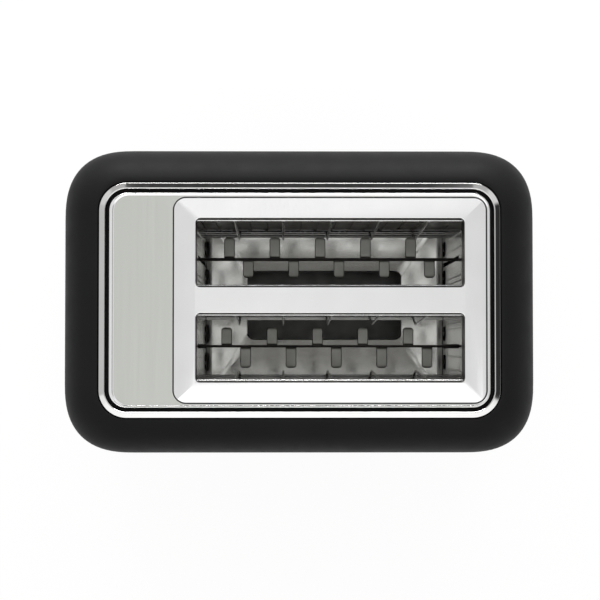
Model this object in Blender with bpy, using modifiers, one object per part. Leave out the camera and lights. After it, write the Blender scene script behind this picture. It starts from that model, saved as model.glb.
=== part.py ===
"""A two-slice toaster as an assembly of separate solids, in metres, +Z up.

The origin is on the surface that the toaster stands on, under the middle of its body.
+X runs along the bread slots, away from the end with the lever. +Y is the rear side.
"""

import math

import bmesh
import bpy
from mathutils import Matrix, Vector

# Fits that the whole assembly shares
GAP = 0.0003            # between pieces that touch
SLIDE_GAP = 0.0005      # between pieces that slide past each other
OVERRUN = 0.002         # how far a cutter passes the faces that it cuts
SMALL_ROUND = 0.0006    # edge round on small moulded pieces
MERGE = 0.00001         # distance within which modifiers weld points

# Body
BODY_LENGTH = 0.256
BODY_WIDTH = 0.165
BODY_HEIGHT = 0.180
BODY_CORNER = 0.031
SHOULDER_DROP = 0.030     # from the top of the toaster to its widest line
SHELL_BOTTOM_Z = 0.0065
TUCK = 0.0035           # how far the wall is drawn in at its foot
WALL = 0.0025
SHOULDER_X = 0.0212     # from the widest line in to the ring, at the ends
SHOULDER_Y = 0.0200     # the same along the sides
SHOULDER_TURN = math.radians(75)
LIP_WIDTH = 0.0016      # flat lip next to the ring
CORNER_STEPS = 6
SHOULDER_STEPS = 6
SIDE_RING_SHARES = (0, 0.03, 0.3, 0.65, 1)  # of the wall's height, where it is ringed

# Stack of pieces on top
RING_WIDTH = 0.0033
RING_HEIGHT = 0.0052
RING_FALL = 0.0011      # from its inner edge down to its outer one
RING_ROUND = 0.0005
RING_CORNER = 0.015
RING_PROUD = 0.0009     # ring's top above the shell's lip
GROOVE = 0.0021         # dark groove between ring and top plate
PLATE_SHEET = 0.0010
PLATE_RIM_WIDTH = 0.0016
PLATE_RIM_RISE = 0.0006
SEAT_HEIGHT = 0.0025    # black frame that carries ring and plate
SEAT_LAP = 0.0028       # how far it reaches under the plate, and out under the lip

# Slot frame
MECHANISM_BAY = 0.0728  # from the lever end of the body to the slots
END_BAY = 0.0405        # from the slots to the other end
SIDE_BAY = 0.03895      # from a side of the body to the slots
SLOT_CORNER = 0.0024
BRIDGE = 0.0139
FRAME_MARGIN_X = 0.0116
FRAME_MARGIN_Y = 0.0108
FRAME_CORNER = 0.0065
FRAME_RISE = 0.0013
FRAME_EDGE = 0.0007
COLLAR_DEPTH = 0.0035
COLLAR_WALL = 0.0010

# Base
BASE_Z = 0.0090
BASE_SHEET = 0.0020
VENT_WIDTH = 0.0030
VENT_LENGTH = 0.040
VENT_PITCH = 0.0090
VENT_COUNT = 5
FOOT_RADIUS = 0.0090
FOOT_TAPER = 0.0010
FOOT_IN_X = 0.030       # from the ends and sides of the body to a foot's middle
FOOT_IN_Y = 0.0255
ROUND_STEPS = 16
SCREW_IN_X = 0.050
SCREW_IN_Y = 0.0205
SCREW_RADIUS = 0.0015
SCREW_LENGTH = 0.012
SCREW_HEAD_RADIUS = 0.0030
SCREW_HEAD = 0.0016
SCREW_FACE_SHARE = 0.8  # of the head's radius, left flat below its bevel
BOSS_RADIUS = 0.0040
BOSS_HEIGHT = 0.018
BOSS_RIB = 0.0024

# Chassis round the bread slots
FLOOR_Z = 0.0553
SHEET = 0.0008
CHASSIS_PAST = 0.00795  # how far the end plates reach past the slots
TONGUE_SLOT = 0.0024
TONGUE_SLOT_DROP = 0.031
TONGUE_ROOM = 0.005     # under the carriers at their lowest
WINDOW_WIDTH_SHARE = 0.24  # of a slot's width
WINDOW_HEIGHT = 0.0180
WINDOW_OFFSET_SHARE = 0.232
CRUMB_END = 0.02485     # from a slot's end to the crumb opening
CRUMB_SIDE = 0.0085     # by which it is narrower than the slots' middles stand apart
CRUMB_CORNER = 0.0040
CRUMB_CORNER_STEPS = 4
REFLECTOR_PAST = 0.00605  # from a slot's outer edge out to the reflector
LEDGE_INSIDE = 0.00155  # from a slot's outer edge in to the ledge's edge
LEDGE_RISE = 0.0024
CHANNEL_LAP = 0.00145   # how far the centre channel shows past the bridge

# Heaters
BOARD_SHEET = 0.0006
BOARD_PAST = 0.00305    # from a slot's outer edge out to the board
BOARD_LIFT = 0.0030     # above the ledges
BOARD_DROP = 0.012
RIBBON_RADIUS = 0.00035
RIBBON_TURNS = 13
RIBBON_END_MARGIN = 0.008

# Guide wires
WIRE_RADIUS = 0.0007
WIRE_PITCH_SHARE = 0.178  # of a slot's length
WIRE_COUNT = 5
KNEE_LIFT = 0.023       # above the ledges, where a wire is nearest the bread
KNEE_LEAN = 0.00465     # how far it stands inside the slot there
RAIL_TOP_INSIDE = 0.0009  # from a slot's edge in to the top rail
RAIL_LOW_PAST = 0.00095

# Bread carriers
CARRIER_DROP = 0.049    # from the top of the toaster to the carriers at rest
FLOOR_ROOM = 0.0097     # between the floor and the carriers at their lowest
CARRIER_SHEET = 0.0008
SPINE_WIDTH = 0.0014
SPINE_HEIGHT = 0.0080
SPINE_SHEET = 0.0010
TAB_WIDTH = 0.0060
TAB_CLEAR = 0.0016      # between a tab and the guide wires
CARRIER_INWARD = 0.00085  # from a slot's middle to its carrier, towards the bridge
TAB_CORNER = 0.0018
TAB_PITCH_SHARE = 0.178  # of a slot's length
TAB_COUNT = 5
TAB_REAR_SHARE = 2.169  # of the pitch, from the slot's middle to the first tab
TAB_FRONT_SHARE = 1.752
TONGUE_LEFT = 0.0050    # how far the spine passes each end plate
TONGUE_RIGHT = 0.0045

# Lifting gear
ROD_FROM_CHASSIS = 0.0205
ROD_RADIUS = 0.0030
ROD_TOP_DROP = 0.014
ROD_BRACKET_FALL = 0.022
ROD_BRACKET_WIDTH = 0.018
ROD_BRACKET_DROP = 0.012
BUSH_WALL = 0.0018
BUSH_FLANGE = 0.0016
BUSH_FLANGE_RADIUS = 0.0070
BUSH_ABOVE = 0.0080
BRACKET_SHEET = 0.0012
BRACKET_PAST = 0.00675  # past the middles of the slots
BRACKET_HEIGHT = 0.0242
SHELF_HALF_WIDTH = 0.0120
SHELF_PAST = 0.0005     # past the magnet
LEVER_SHARE = 0.4255    # of the panel's half width
LEVER_DROP = 0.0175     # below the carriers' top
ARM_SHEET = 0.0020
ARM_HEIGHT = 0.0080
ARM_INTO_KNOB = 0.0065
KNOB_ROOM = 0.010       # between knob and panel edge
KNOB_HEIGHT = 0.0130
KNOB_DEPTH = 0.0115
KNOB_ROUND = 0.0030
REACH_PAST = 0.004      # knob and tray pull past the body's ends
SPRING_RADIUS = 0.0050
SPRING_WIRE = 0.0005
SPRING_TURNS = 14
SPRING_POINTS = 8

# Magnet
MAGNET_FROM_ROD = 0.017
MAGNET_LENGTH = 0.0150
MAGNET_WIDTH = 0.0240
MAGNET_LEG = 0.0040
MAGNET_YOKE = 0.0060
COIL_SIDE = 0.0026
COIL_TOP_MARGIN = 0.0030
ARMATURE_SHEET = 0.0020

# Control panel
PANEL_INSIDE = 0.0045   # between the panel and the body's round corners
PANEL_LOW_Z = 0.0260
PANEL_DROP = 0.034
PANEL_RECESS = 0.008
PANEL_SHEET = 0.0018
PANEL_RIM_RECESS = 0.0018
CONTROL_SHARE = 0.5106  # of the panel's half width
DIAL_LIFT = 0.020
DIAL_RADIUS = 0.0120
DIAL_DEPTH = 0.0085
DIAL_GRIP = 0.0030
DIAL_SHAFT = 0.0030
DIAL_STEPS = 32
BUTTON_WIDTH = 0.0120
BUTTON_HEIGHT = 0.0080
BUTTON_PROUD = 0.0035
BUTTON_TRAVEL = 0.0015
BUTTON_DROP = 0.028     # from the panel's top to the top button
BUTTON_COUNT = 3
BUTTON_LIP = 0.0010
BUTTON_STEM = 0.0022
SWITCH_SIZE = 0.0060
SWITCH_DEPTH = 0.0035

# Circuit board and what is on it
CIRCUIT_BEHIND = 0.0104
CIRCUIT_SHEET = 0.0016
CIRCUIT_INSIDE = 0.002
CIRCUIT_NEAR_Y = -0.0030
CIRCUIT_DROP = 0.014
POST_RADIUS = 0.0026
POST_INSET = 0.0050
POST_STEPS = 12
POT_RADIUS = 0.0080
CAPACITOR_DEPTH = 0.0060
CAPACITOR_WIDTH = 0.0170
CAPACITOR_HEIGHT = 0.0120
CAPACITOR_SHARE = 0.6346  # of the board's height
MAINS_SWITCH_DEPTH = 0.0080
MAINS_SWITCH_WIDTH = 0.0140
MAINS_SWITCH_HEIGHT = 0.0200
MAINS_SWITCH_SHARE = 0.3462

# Crumb tray
TRAY_INSIDE = 0.0055    # from the lever-side end plate to the tray
TRAY_LEG = 0.0055       # end plate left standing on each side of the tray
TRAY_DEPTH = 0.0072
TRAY_DOOR_RECESS = 0.0044
TRAY_DOOR_SHEET = 0.0024
TRAY_DOOR_HIGH_Z = 0.0275
TRAY_DOOR_MARGIN = 0.0017
PULL_WIDTH = 0.044
PULL_THICK = 0.0032
PULL_Z = 0.0220
TRAY_HEADROOM = 0.0020

# Cord gland
GLAND_SHARE = 0.6796    # of the flat half width of the end
GLAND_Z = 0.0440
GLAND_BORE = 0.0040
GLAND_NECK = 0.0052
GLAND_FLANGE = 0.0075
GLAND_OUT = 0.0024
GLAND_SEAT = 0.0012
GLAND_NUT = 0.0020
GLAND_NUT_SEAT = 0.0054


# Places that follow from the sizes above
half_length = BODY_LENGTH / 2
half_width = BODY_WIDTH / 2
widest_z = BODY_HEIGHT - SHOULDER_DROP
ring_half_x = half_length - SHOULDER_X
ring_half_y = half_width - SHOULDER_Y
plate_half_x = ring_half_x - RING_WIDTH - GROOVE
plate_half_y = ring_half_y - RING_WIDTH - GROOVE
plate_corner = RING_CORNER - RING_WIDTH - GROOVE
slot_left = MECHANISM_BAY - half_length
slot_right = half_length - END_BAY
slot_length = slot_right - slot_left
slot_x = (slot_left + slot_right) / 2
slot_edge = half_width - SIDE_BAY
slot_width = slot_edge - BRIDGE / 2
slot_y = (BRIDGE + slot_width) / 2
frame_width = 2 * (slot_edge + FRAME_MARGIN_Y)
frame_length = slot_length + 2 * FRAME_MARGIN_X

frame_edge_z = BODY_HEIGHT - FRAME_RISE
frame_base_z = frame_edge_z - FRAME_EDGE
plate_z = frame_base_z - GAP
plate_under_z = plate_z - PLATE_SHEET
ring_top_z = plate_z + PLATE_RIM_RISE
ring_base_z = ring_top_z - RING_HEIGHT
lip_z = ring_top_z - RING_PROUD
seat_top_z = ring_base_z - GAP
collar_z = frame_base_z - COLLAR_DEPTH
chassis_top_z = collar_z - GAP

base_top_z = BASE_Z + BASE_SHEET
chassis_base_z = base_top_z + GAP
base_inset = TUCK + WALL + GAP
foot_x = half_length - FOOT_IN_X
foot_y = half_width - FOOT_IN_Y
screw_x = half_length - SCREW_IN_X
screw_y = half_width - SCREW_IN_Y

end_left_x = slot_left - GAP
end_right_x = slot_right + GAP
ledge_z = FLOOR_Z + GAP + LEDGE_RISE
chassis_half_width = slot_edge + CHASSIS_PAST
reflector_y = slot_edge + REFLECTOR_PAST
ledge_y = slot_edge - LEDGE_INSIDE
channel_half = BRIDGE / 2 + CHANNEL_LAP
window_width = slot_width * WINDOW_WIDTH_SHARE
window_offset = slot_width * WINDOW_OFFSET_SHARE
crumb_length = slot_length - 2 * CRUMB_END
crumb_width = 2 * slot_y - CRUMB_SIDE
board_y = slot_edge + BOARD_PAST
board_bottom = ledge_z + BOARD_LIFT
board_top = BODY_HEIGHT - BOARD_DROP

wire_pitch = slot_length * WIRE_PITCH_SHARE
wire_knee_z = ledge_z + KNEE_LIFT
wire_knee = slot_width / 2 - KNEE_LEAN
rail_top_offset = slot_width / 2 - RAIL_TOP_INSIDE
rail_low_offset = slot_width / 2 + RAIL_LOW_PAST

carrier_z = BODY_HEIGHT - CARRIER_DROP
carrier_travel = carrier_z - SPINE_HEIGHT - FLOOR_Z - FLOOR_ROOM
carrier_low_z = carrier_z - carrier_travel - SPINE_HEIGHT
tab_length = wire_knee - WIRE_RADIUS - TAB_CLEAR - SPINE_WIDTH / 2
carrier_y = slot_y - CARRIER_INWARD
tab_pitch = slot_length * TAB_PITCH_SHARE
tab_rear_start = tab_pitch * TAB_REAR_SHARE
tab_front_start = tab_pitch * TAB_FRONT_SHARE
tongue_slot_top = BODY_HEIGHT - TONGUE_SLOT_DROP
tongue_slot_bottom = carrier_low_z - TONGUE_ROOM

panel_half_width = half_width - BODY_CORNER - PANEL_INSIDE
panel_high_z = BODY_HEIGHT - PANEL_DROP
panel_face_x = PANEL_RECESS - half_length
panel_rim_x = PANEL_RIM_RECESS - half_length
panel_back_x = panel_face_x + PANEL_SHEET
control_y = -panel_half_width * CONTROL_SHARE
dial_z = PANEL_LOW_Z + DIAL_LIFT
button_pitch = (panel_high_z - BUTTON_DROP - dial_z) / (BUTTON_COUNT + 1)
circuit_x = panel_face_x + CIRCUIT_BEHIND
circuit_side_y = CIRCUIT_INSIDE - panel_half_width
circuit_low_z = PANEL_LOW_Z + CIRCUIT_INSIDE
circuit_high_z = panel_high_z - CIRCUIT_DROP
circuit_height = circuit_high_z - circuit_low_z
capacitor_z = circuit_low_z + circuit_height * CAPACITOR_SHARE
mains_switch_z = circuit_low_z + circuit_height * MAINS_SWITCH_SHARE
switch_face_x = circuit_x - GAP - SWITCH_DEPTH

reach = half_length + REACH_PAST
rod_x = end_left_x - ROD_FROM_CHASSIS
rod_top = BODY_HEIGHT - ROD_TOP_DROP
rod_bracket_z = BODY_HEIGHT - ROD_BRACKET_FALL
bracket_x = end_left_x - SHEET - TONGUE_LEFT - GAP
bracket_half_width = slot_y + BRACKET_PAST
bracket_bottom = carrier_z - BRACKET_HEIGHT
lever_y = panel_half_width * LEVER_SHARE
lever_z = carrier_z - LEVER_DROP
knob_width = 2 * (panel_half_width - lever_y - KNOB_ROOM)
magnet_x = rod_x - MAGNET_FROM_ROD
shelf_end_x = magnet_x - MAGNET_LENGTH / 2 - SHELF_PAST
armature_top_z = bracket_bottom - GAP
magnet_top_z = armature_top_z - ARMATURE_SHEET - carrier_travel - GAP

tray_base_z = chassis_base_z
tray_left_x = end_left_x + TRAY_INSIDE
tray_half_width = chassis_half_width - TRAY_LEG
tray_door_x = half_length - TRAY_DOOR_RECESS
gland_y = (half_width - BODY_CORNER) * GLAND_SHARE
gland_face_x = half_length - GLAND_SEAT
gland_nut_x = half_length - GLAND_NUT_SEAT


def new_collection(name):
    collection = bpy.data.collections.new(name)
    bpy.context.scene.collection.children.link(collection)
    return collection


def clear_scene():
    for item in list(bpy.data.objects):
        bpy.data.objects.remove(item, do_unlink=True)


clear_scene()
parts = new_collection("toaster")
cutters = new_collection("cutters")


def material(name, colour, roughness, metallic=0.0):
    made = bpy.data.materials.new(name)
    made.use_nodes = True
    shader = made.node_tree.nodes["Principled BSDF"]
    shader.inputs["Base Color"].default_value = (*colour, 1.0)
    shader.inputs["Roughness"].default_value = roughness
    shader.inputs["Metallic"].default_value = metallic
    return made


BLACK_PLASTIC = material("black_plastic", (0.012, 0.012, 0.013), 0.55)
GLOSS_BLACK = material("gloss_black", (0.010, 0.010, 0.011), 0.25)
CHROME = material("chrome", (0.75, 0.75, 0.74), 0.08, 1.0)
POLISHED_STEEL = material("polished_steel", (0.66, 0.66, 0.64), 0.18, 1.0)
SHEET_STEEL = material("sheet_steel", (0.45, 0.45, 0.43), 0.38, 1.0)
WIRE_STEEL = material("wire_steel", (0.50, 0.50, 0.49), 0.30, 1.0)
MICA = material("mica", (0.55, 0.47, 0.33), 0.60)
NICHROME = material("nichrome", (0.36, 0.34, 0.32), 0.42, 1.0)
RUBBER = material("rubber", (0.03, 0.03, 0.03), 0.85)
COPPER = material("copper_winding", (0.62, 0.27, 0.12), 0.35, 1.0)
BOARD_GREEN = material("board_green", (0.05, 0.20, 0.09), 0.50)
COMPONENT = material("component", (0.10, 0.10, 0.11), 0.50)


def place(item, finish):
    """Puts a finished object in the toaster's collection with its material."""
    for holder in list(item.users_collection):
        holder.objects.unlink(item)
    parts.objects.link(item)
    item.data.materials.clear()
    item.data.materials.append(finish)
    return item


def mesh_object(name, bm, origin=(0, 0, 0)):
    """Makes an object from a bmesh in world places, with its own origin."""
    bmesh.ops.translate(bm, verts=bm.verts, vec=-Vector(origin))
    bmesh.ops.recalc_face_normals(bm, faces=bm.faces)
    mesh = bpy.data.meshes.new(name)
    bm.to_mesh(mesh)
    bm.free()
    item = bpy.data.objects.new(name, mesh)
    item.location = origin
    parts.objects.link(item)
    return item


def box(name, low, high, origin=None):
    """A box between two corners."""
    low = Vector(low)
    high = Vector(high)
    middle = (low + high) / 2
    bm = bmesh.new()
    bmesh.ops.create_cube(bm, size=1.0)
    bmesh.ops.scale(bm, vec=high - low, verts=bm.verts)
    bmesh.ops.translate(bm, verts=bm.verts, vec=middle)
    return mesh_object(name, bm, middle if origin is None else origin)


AXIS_TURNS = {
    "x": Matrix.Rotation(math.pi / 2, 4, "Y"),
    "y": Matrix.Rotation(-math.pi / 2, 4, "X"),
    "z": Matrix.Identity(4),
}


def rod(name, centre, radius, length, axis="z", steps=ROUND_STEPS, far_radius=None):
    """A cylinder or cone about a middle point; far_radius is at the axis's + end."""
    bm = bmesh.new()
    bmesh.ops.create_cone(
        bm, cap_ends=True, segments=steps, radius1=radius,
        radius2=radius if far_radius is None else far_radius, depth=length)
    bmesh.ops.transform(bm, matrix=AXIS_TURNS[axis], verts=bm.verts)
    bmesh.ops.translate(bm, verts=bm.verts, vec=Vector(centre))
    return mesh_object(name, bm, centre)


def rounded_outline(half_x, half_y, radius, centre=(0, 0), steps=CORNER_STEPS):
    """Points of a rectangle with round corners, anticlockwise from the +X +Y corner."""
    points = []
    for quarter, (side_x, side_y) in enumerate(((1, 1), (-1, 1), (-1, -1), (1, -1))):
        middle_x = centre[0] + side_x * (half_x - radius)
        middle_y = centre[1] + side_y * (half_y - radius)
        for step in range(steps + 1):
            angle = math.pi / 2 * (quarter + step / steps)
            points.append((middle_x + radius * math.cos(angle),
                           middle_y + radius * math.sin(angle)))
    return points


def loft(name, rings, cap_first=False, cap_last=False, closed=False):
    """Skins a list of rings, each (outline, z), into one surface."""
    bm = bmesh.new()
    loops = [[bm.verts.new((x, y, z)) for x, y in outline] for outline, z in rings]
    pairs = list(zip(loops, loops[1:]))
    if closed:
        pairs.append((loops[-1], loops[0]))
    for lower, upper in pairs:
        count = len(lower)
        for index in range(count):
            after = (index + 1) % count
            bm.faces.new((lower[index], lower[after], upper[after], upper[index]))
    if cap_first:
        bm.faces.new(list(reversed(loops[0])))
    if cap_last:
        bm.faces.new(loops[-1])
    return mesh_object(name, bm)


def slab(name, half_x, half_y, radius, low_z, high_z, centre=(0, 0), steps=CORNER_STEPS):
    """A flat plate with round corners."""
    outline = rounded_outline(half_x, half_y, radius, centre, steps)
    return loft(name, [(outline, low_z), (outline, high_z)], True, True)


def solidify(item, thickness, offset=-1.0):
    wall = item.modifiers.new("wall", "SOLIDIFY")
    wall.thickness = thickness
    wall.offset = offset
    wall.use_even_offset = True
    return item


def bevel(item, width, segments=2, angle=math.radians(40)):
    edge = item.modifiers.new("edge", "BEVEL")
    edge.width = width
    edge.segments = segments
    edge.limit_method = "ANGLE"
    edge.angle_limit = angle
    return item


def combine(item, tool, operation):
    """Adds a Boolean with a tool, which moves to the cutters' collection."""
    step = item.modifiers.new(tool.name, "BOOLEAN")
    step.operation = operation
    step.solver = "EXACT"
    step.object = tool
    for holder in list(tool.users_collection):
        holder.objects.unlink(tool)
    cutters.objects.link(tool)
    tool.hide_render = True
    tool.display_type = "WIRE"
    return item


def cut(item, *tools):
    for tool in tools:
        combine(item, tool, "DIFFERENCE")
    return item


def join(item, *tools):
    for tool in tools:
        combine(item, tool, "UNION")
    return item


def turned(name, profile, centre, axis="z", steps=ROUND_STEPS, hollow=True):
    """Turns a profile of (radius, height); a hollow one closes on itself off the axis."""
    mesh = bpy.data.meshes.new(name)
    edges = [(index, index + 1) for index in range(len(profile) - 1)]
    if hollow:
        edges.append((len(profile) - 1, 0))
    mesh.from_pydata([(radius, 0, height) for radius, height in profile], edges, [])
    item = bpy.data.objects.new(name, mesh)
    parts.objects.link(item)
    item.location = centre
    item.rotation_euler = AXIS_TURNS[axis].to_euler()
    screw = item.modifiers.new("turn", "SCREW")
    screw.steps = steps
    screw.render_steps = steps
    screw.use_merge_vertices = True
    screw.merge_threshold = MERGE
    return item


def sheet_run(name, profile, low_x, high_x, thickness):
    """A folded sheet: a (y, z) profile run along X and thickened to its left."""
    bm = bmesh.new()
    near = [bm.verts.new((low_x, y, z)) for y, z in profile]
    far = [bm.verts.new((high_x, y, z)) for y, z in profile]
    for index in range(len(profile) - 1):
        bm.faces.new((near[index], near[index + 1], far[index + 1], far[index]))
    return solidify(mesh_object(name, bm), thickness, 0.0)


def tube(name, points, radius, resolution=1):
    """A wire along a list of points, turned into a mesh with welded caps."""
    curve = bpy.data.curves.new(name, "CURVE")
    curve.dimensions = "3D"
    curve.bevel_depth = radius
    curve.bevel_resolution = resolution
    curve.use_fill_caps = True
    spline = curve.splines.new("POLY")
    spline.points.add(len(points) - 1)
    for point, place_at in zip(spline.points, points):
        point.co = (*place_at, 1.0)
    holder = bpy.data.objects.new(name + "_path", curve)
    parts.objects.link(holder)
    depsgraph = bpy.context.evaluated_depsgraph_get()
    mesh = bpy.data.meshes.new_from_object(holder.evaluated_get(depsgraph))
    bm = bmesh.new()
    bm.from_mesh(mesh)
    bmesh.ops.remove_doubles(bm, verts=bm.verts, dist=MERGE)
    bmesh.ops.recalc_face_normals(bm, faces=bm.faces)
    bm.to_mesh(mesh)
    bm.free()
    item = bpy.data.objects.new(name, mesh)
    item.matrix_world = holder.matrix_world
    parts.objects.link(item)
    bpy.data.objects.remove(holder, do_unlink=True)
    return item


def least_gap(points, radius, apart):
    """Least clear gap between stretches of one tube that lie apart along it."""
    least = math.inf
    for index, first in enumerate(points):
        for second in points[index + apart:]:
            least = min(least, (Vector(first) - Vector(second)).length)
    return least - 2 * radius


def adopt(parent, *children):
    bpy.context.view_layer.update()
    for child in children:
        child.parent = parent
        child.matrix_parent_inverse = parent.matrix_world.inverted()


def wall_inset(height):
    """How far the body's side stands inside its widest line at a height."""
    share = (height - SHELL_BOTTOM_Z) / (widest_z - SHELL_BOTTOM_Z)
    return TUCK * (1 - share) ** 2


def outer_shell():
    rings = []
    for share in SIDE_RING_SHARES:
        height = SHELL_BOTTOM_Z + share * (widest_z - SHELL_BOTTOM_Z)
        inset = wall_inset(height)
        rings.append((rounded_outline(half_length - inset, half_width - inset,
                                      BODY_CORNER - inset), height))
    for step in range(1, SHOULDER_STEPS + 1):
        angle = SHOULDER_TURN * step / SHOULDER_STEPS
        inward_share = (1 - math.cos(angle)) / (1 - math.cos(SHOULDER_TURN))
        height = widest_z + (lip_z - widest_z) * math.sin(angle) / math.sin(SHOULDER_TURN)
        lip_corner = RING_CORNER + GAP + LIP_WIDTH
        half_x = half_length - (SHOULDER_X - GAP - LIP_WIDTH) * inward_share
        half_y = half_width - (SHOULDER_Y - GAP - LIP_WIDTH) * inward_share
        corner = BODY_CORNER - (BODY_CORNER - lip_corner) * inward_share
        rings.append((rounded_outline(half_x, half_y, corner), height))
    rings.append((rounded_outline(ring_half_x + GAP, ring_half_y + GAP,
                                  RING_CORNER + GAP), lip_z))
    shell = solidify(loft("outer_shell", rings), WALL)
    for side_x in (-1, 1):
        for side_y in (-1, 1):
            x = side_x * screw_x
            y = side_y * screw_y
            boss_middle_z = chassis_base_z + BOSS_HEIGHT / 2
            wall_y = side_y * (half_width - WALL / 2 - TUCK)
            rib = box("boss_rib", (x - BOSS_RIB / 2, min(y, wall_y), chassis_base_z),
                      (x + BOSS_RIB / 2, max(y, wall_y), chassis_base_z + BOSS_HEIGHT))
            post = rod("boss", (x, y, boss_middle_z), BOSS_RADIUS, BOSS_HEIGHT)
            hole = rod("boss_hole", (x, y, chassis_base_z), SCREW_RADIUS + GAP,
                       2 * SCREW_LENGTH)
            join(shell, rib, post)
            cut(shell, hole)
    cut(shell,
        box("panel_opening",
            (-half_length - OVERRUN, -panel_half_width - GAP, PANEL_LOW_Z - GAP),
            (panel_back_x + OVERRUN, panel_half_width + GAP, panel_high_z + GAP)),
        box("tray_opening",
            (half_length - TUCK - WALL - OVERRUN, -tray_half_width - TRAY_DOOR_MARGIN - SLIDE_GAP,
             base_top_z),
            (half_length + OVERRUN, tray_half_width + TRAY_DOOR_MARGIN + SLIDE_GAP,
             TRAY_DOOR_HIGH_Z + SLIDE_GAP)),
        rod("gland_hole", (half_length, gland_y, GLAND_Z), GLAND_NECK + GAP,
            4 * (TUCK + WALL), "x"))
    return place(shell, BLACK_PLASTIC)


def trim_ring():
    outer_z = ring_top_z - RING_FALL
    section = (
        (0, ring_base_z),
        (0, outer_z - RING_ROUND),
        (RING_ROUND, outer_z),
        (RING_WIDTH - 2 * RING_ROUND, ring_top_z),
        (RING_WIDTH - RING_ROUND, ring_top_z),
        (RING_WIDTH, ring_top_z - RING_ROUND),
        (RING_WIDTH, ring_base_z),
    )
    rings = [(rounded_outline(ring_half_x - inset, ring_half_y - inset,
                              RING_CORNER - inset), height) for inset, height in section]
    return place(loft("trim_ring", rings, closed=True), CHROME)


def seat_frame():
    outer = rounded_outline(ring_half_x + SEAT_LAP, ring_half_y + SEAT_LAP,
                            RING_CORNER + SEAT_LAP)
    inner = rounded_outline(plate_half_x - SEAT_LAP, plate_half_y - SEAT_LAP,
                            plate_corner - SEAT_LAP)
    low = seat_top_z - SEAT_HEIGHT
    rings = [(outer, low), (outer, seat_top_z), (inner, seat_top_z), (inner, low)]
    return place(loft("seat_frame", rings, closed=True), BLACK_PLASTIC)


def top_plate():
    steps = (
        (0, ring_base_z),
        (0, ring_top_z - PLATE_RIM_RISE),
        (PLATE_RIM_WIDTH / 3, ring_top_z),
        (PLATE_RIM_WIDTH, ring_top_z),
        (PLATE_RIM_WIDTH * 4 / 3, plate_z),
    )
    rings = [(rounded_outline(plate_half_x - inset, plate_half_y - inset,
                              plate_corner - inset), height) for inset, height in steps]
    plate = solidify(loft("top_plate", rings, cap_last=True), PLATE_SHEET)
    reach_x = slot_length / 2 + COLLAR_WALL + GAP
    reach_y = slot_y + slot_width / 2 + COLLAR_WALL + GAP
    opening = box("plate_opening", (slot_x - reach_x, -reach_y, plate_under_z - OVERRUN),
                  (slot_x + reach_x, reach_y, ring_top_z + OVERRUN))
    return place(cut(plate, opening), POLISHED_STEEL)


def slot_frame():
    centre = (slot_x, 0)
    outer = rounded_outline(frame_length / 2, frame_width / 2, FRAME_CORNER, centre)
    inner = rounded_outline(slot_length / 2, slot_y + slot_width / 2, SLOT_CORNER, centre)
    frame = loft("slot_frame", [(outer, frame_base_z), (outer, frame_edge_z),
                                (inner, BODY_HEIGHT)], True, True)
    for side in (-1, 1):
        middle = (slot_x, side * slot_y)
        collar = slab("collar", slot_length / 2 + COLLAR_WALL, slot_width / 2 + COLLAR_WALL,
                      SLOT_CORNER + COLLAR_WALL, collar_z, frame_edge_z, middle)
        join(frame, collar)
    for side in (-1, 1):
        middle = (slot_x, side * slot_y)
        cut(frame, slab("bread_slot", slot_length / 2, slot_width / 2, SLOT_CORNER,
                        collar_z - OVERRUN, BODY_HEIGHT + OVERRUN, middle))
    return place(frame, POLISHED_STEEL)


def base_plate():
    base = slab("base_plate", half_length - base_inset, half_width - base_inset,
                BODY_CORNER - base_inset, BASE_Z, base_top_z)
    for side_x in (-1, 1):
        for side_y in (-1, 1):
            cut(base, rod("base_hole", (side_x * screw_x, side_y * screw_y, BASE_Z),
                          SCREW_RADIUS + GAP, 4 * BASE_SHEET))
    bay_middle = (half_length - base_inset + end_right_x + SHEET) / 2
    for index in range(VENT_COUNT):
        x = bay_middle + (index - (VENT_COUNT - 1) / 2) * VENT_PITCH
        cut(base, box("vent", (x - VENT_WIDTH / 2, -VENT_LENGTH / 2, BASE_Z - OVERRUN),
                      (x + VENT_WIDTH / 2, VENT_LENGTH / 2, base_top_z + OVERRUN)))
    return place(base, SHEET_STEEL)


def feet_and_screws():
    number = 0
    for side_y in (-1, 1):
        for side_x in (-1, 1):
            number += 1
            foot_top = BASE_Z - GAP
            foot = rod(f"foot_{number}", (side_x * foot_x, side_y * foot_y, foot_top / 2),
                       FOOT_RADIUS - FOOT_TAPER, foot_top, far_radius=FOOT_RADIUS)
            place(foot, RUBBER)
            head_top = BASE_Z - GAP
            screw = turned(
                f"base_screw_{number}",
                ((0, SCREW_LENGTH), (SCREW_RADIUS, SCREW_LENGTH - SCREW_RADIUS),
                 (SCREW_RADIUS, 0), (SCREW_HEAD_RADIUS, 0),
                 (SCREW_HEAD_RADIUS * SCREW_FACE_SHARE, -SCREW_HEAD), (0, -SCREW_HEAD)),
                (side_x * screw_x, side_y * screw_y, head_top), hollow=False)
            place(screw, WIRE_STEEL)


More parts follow.
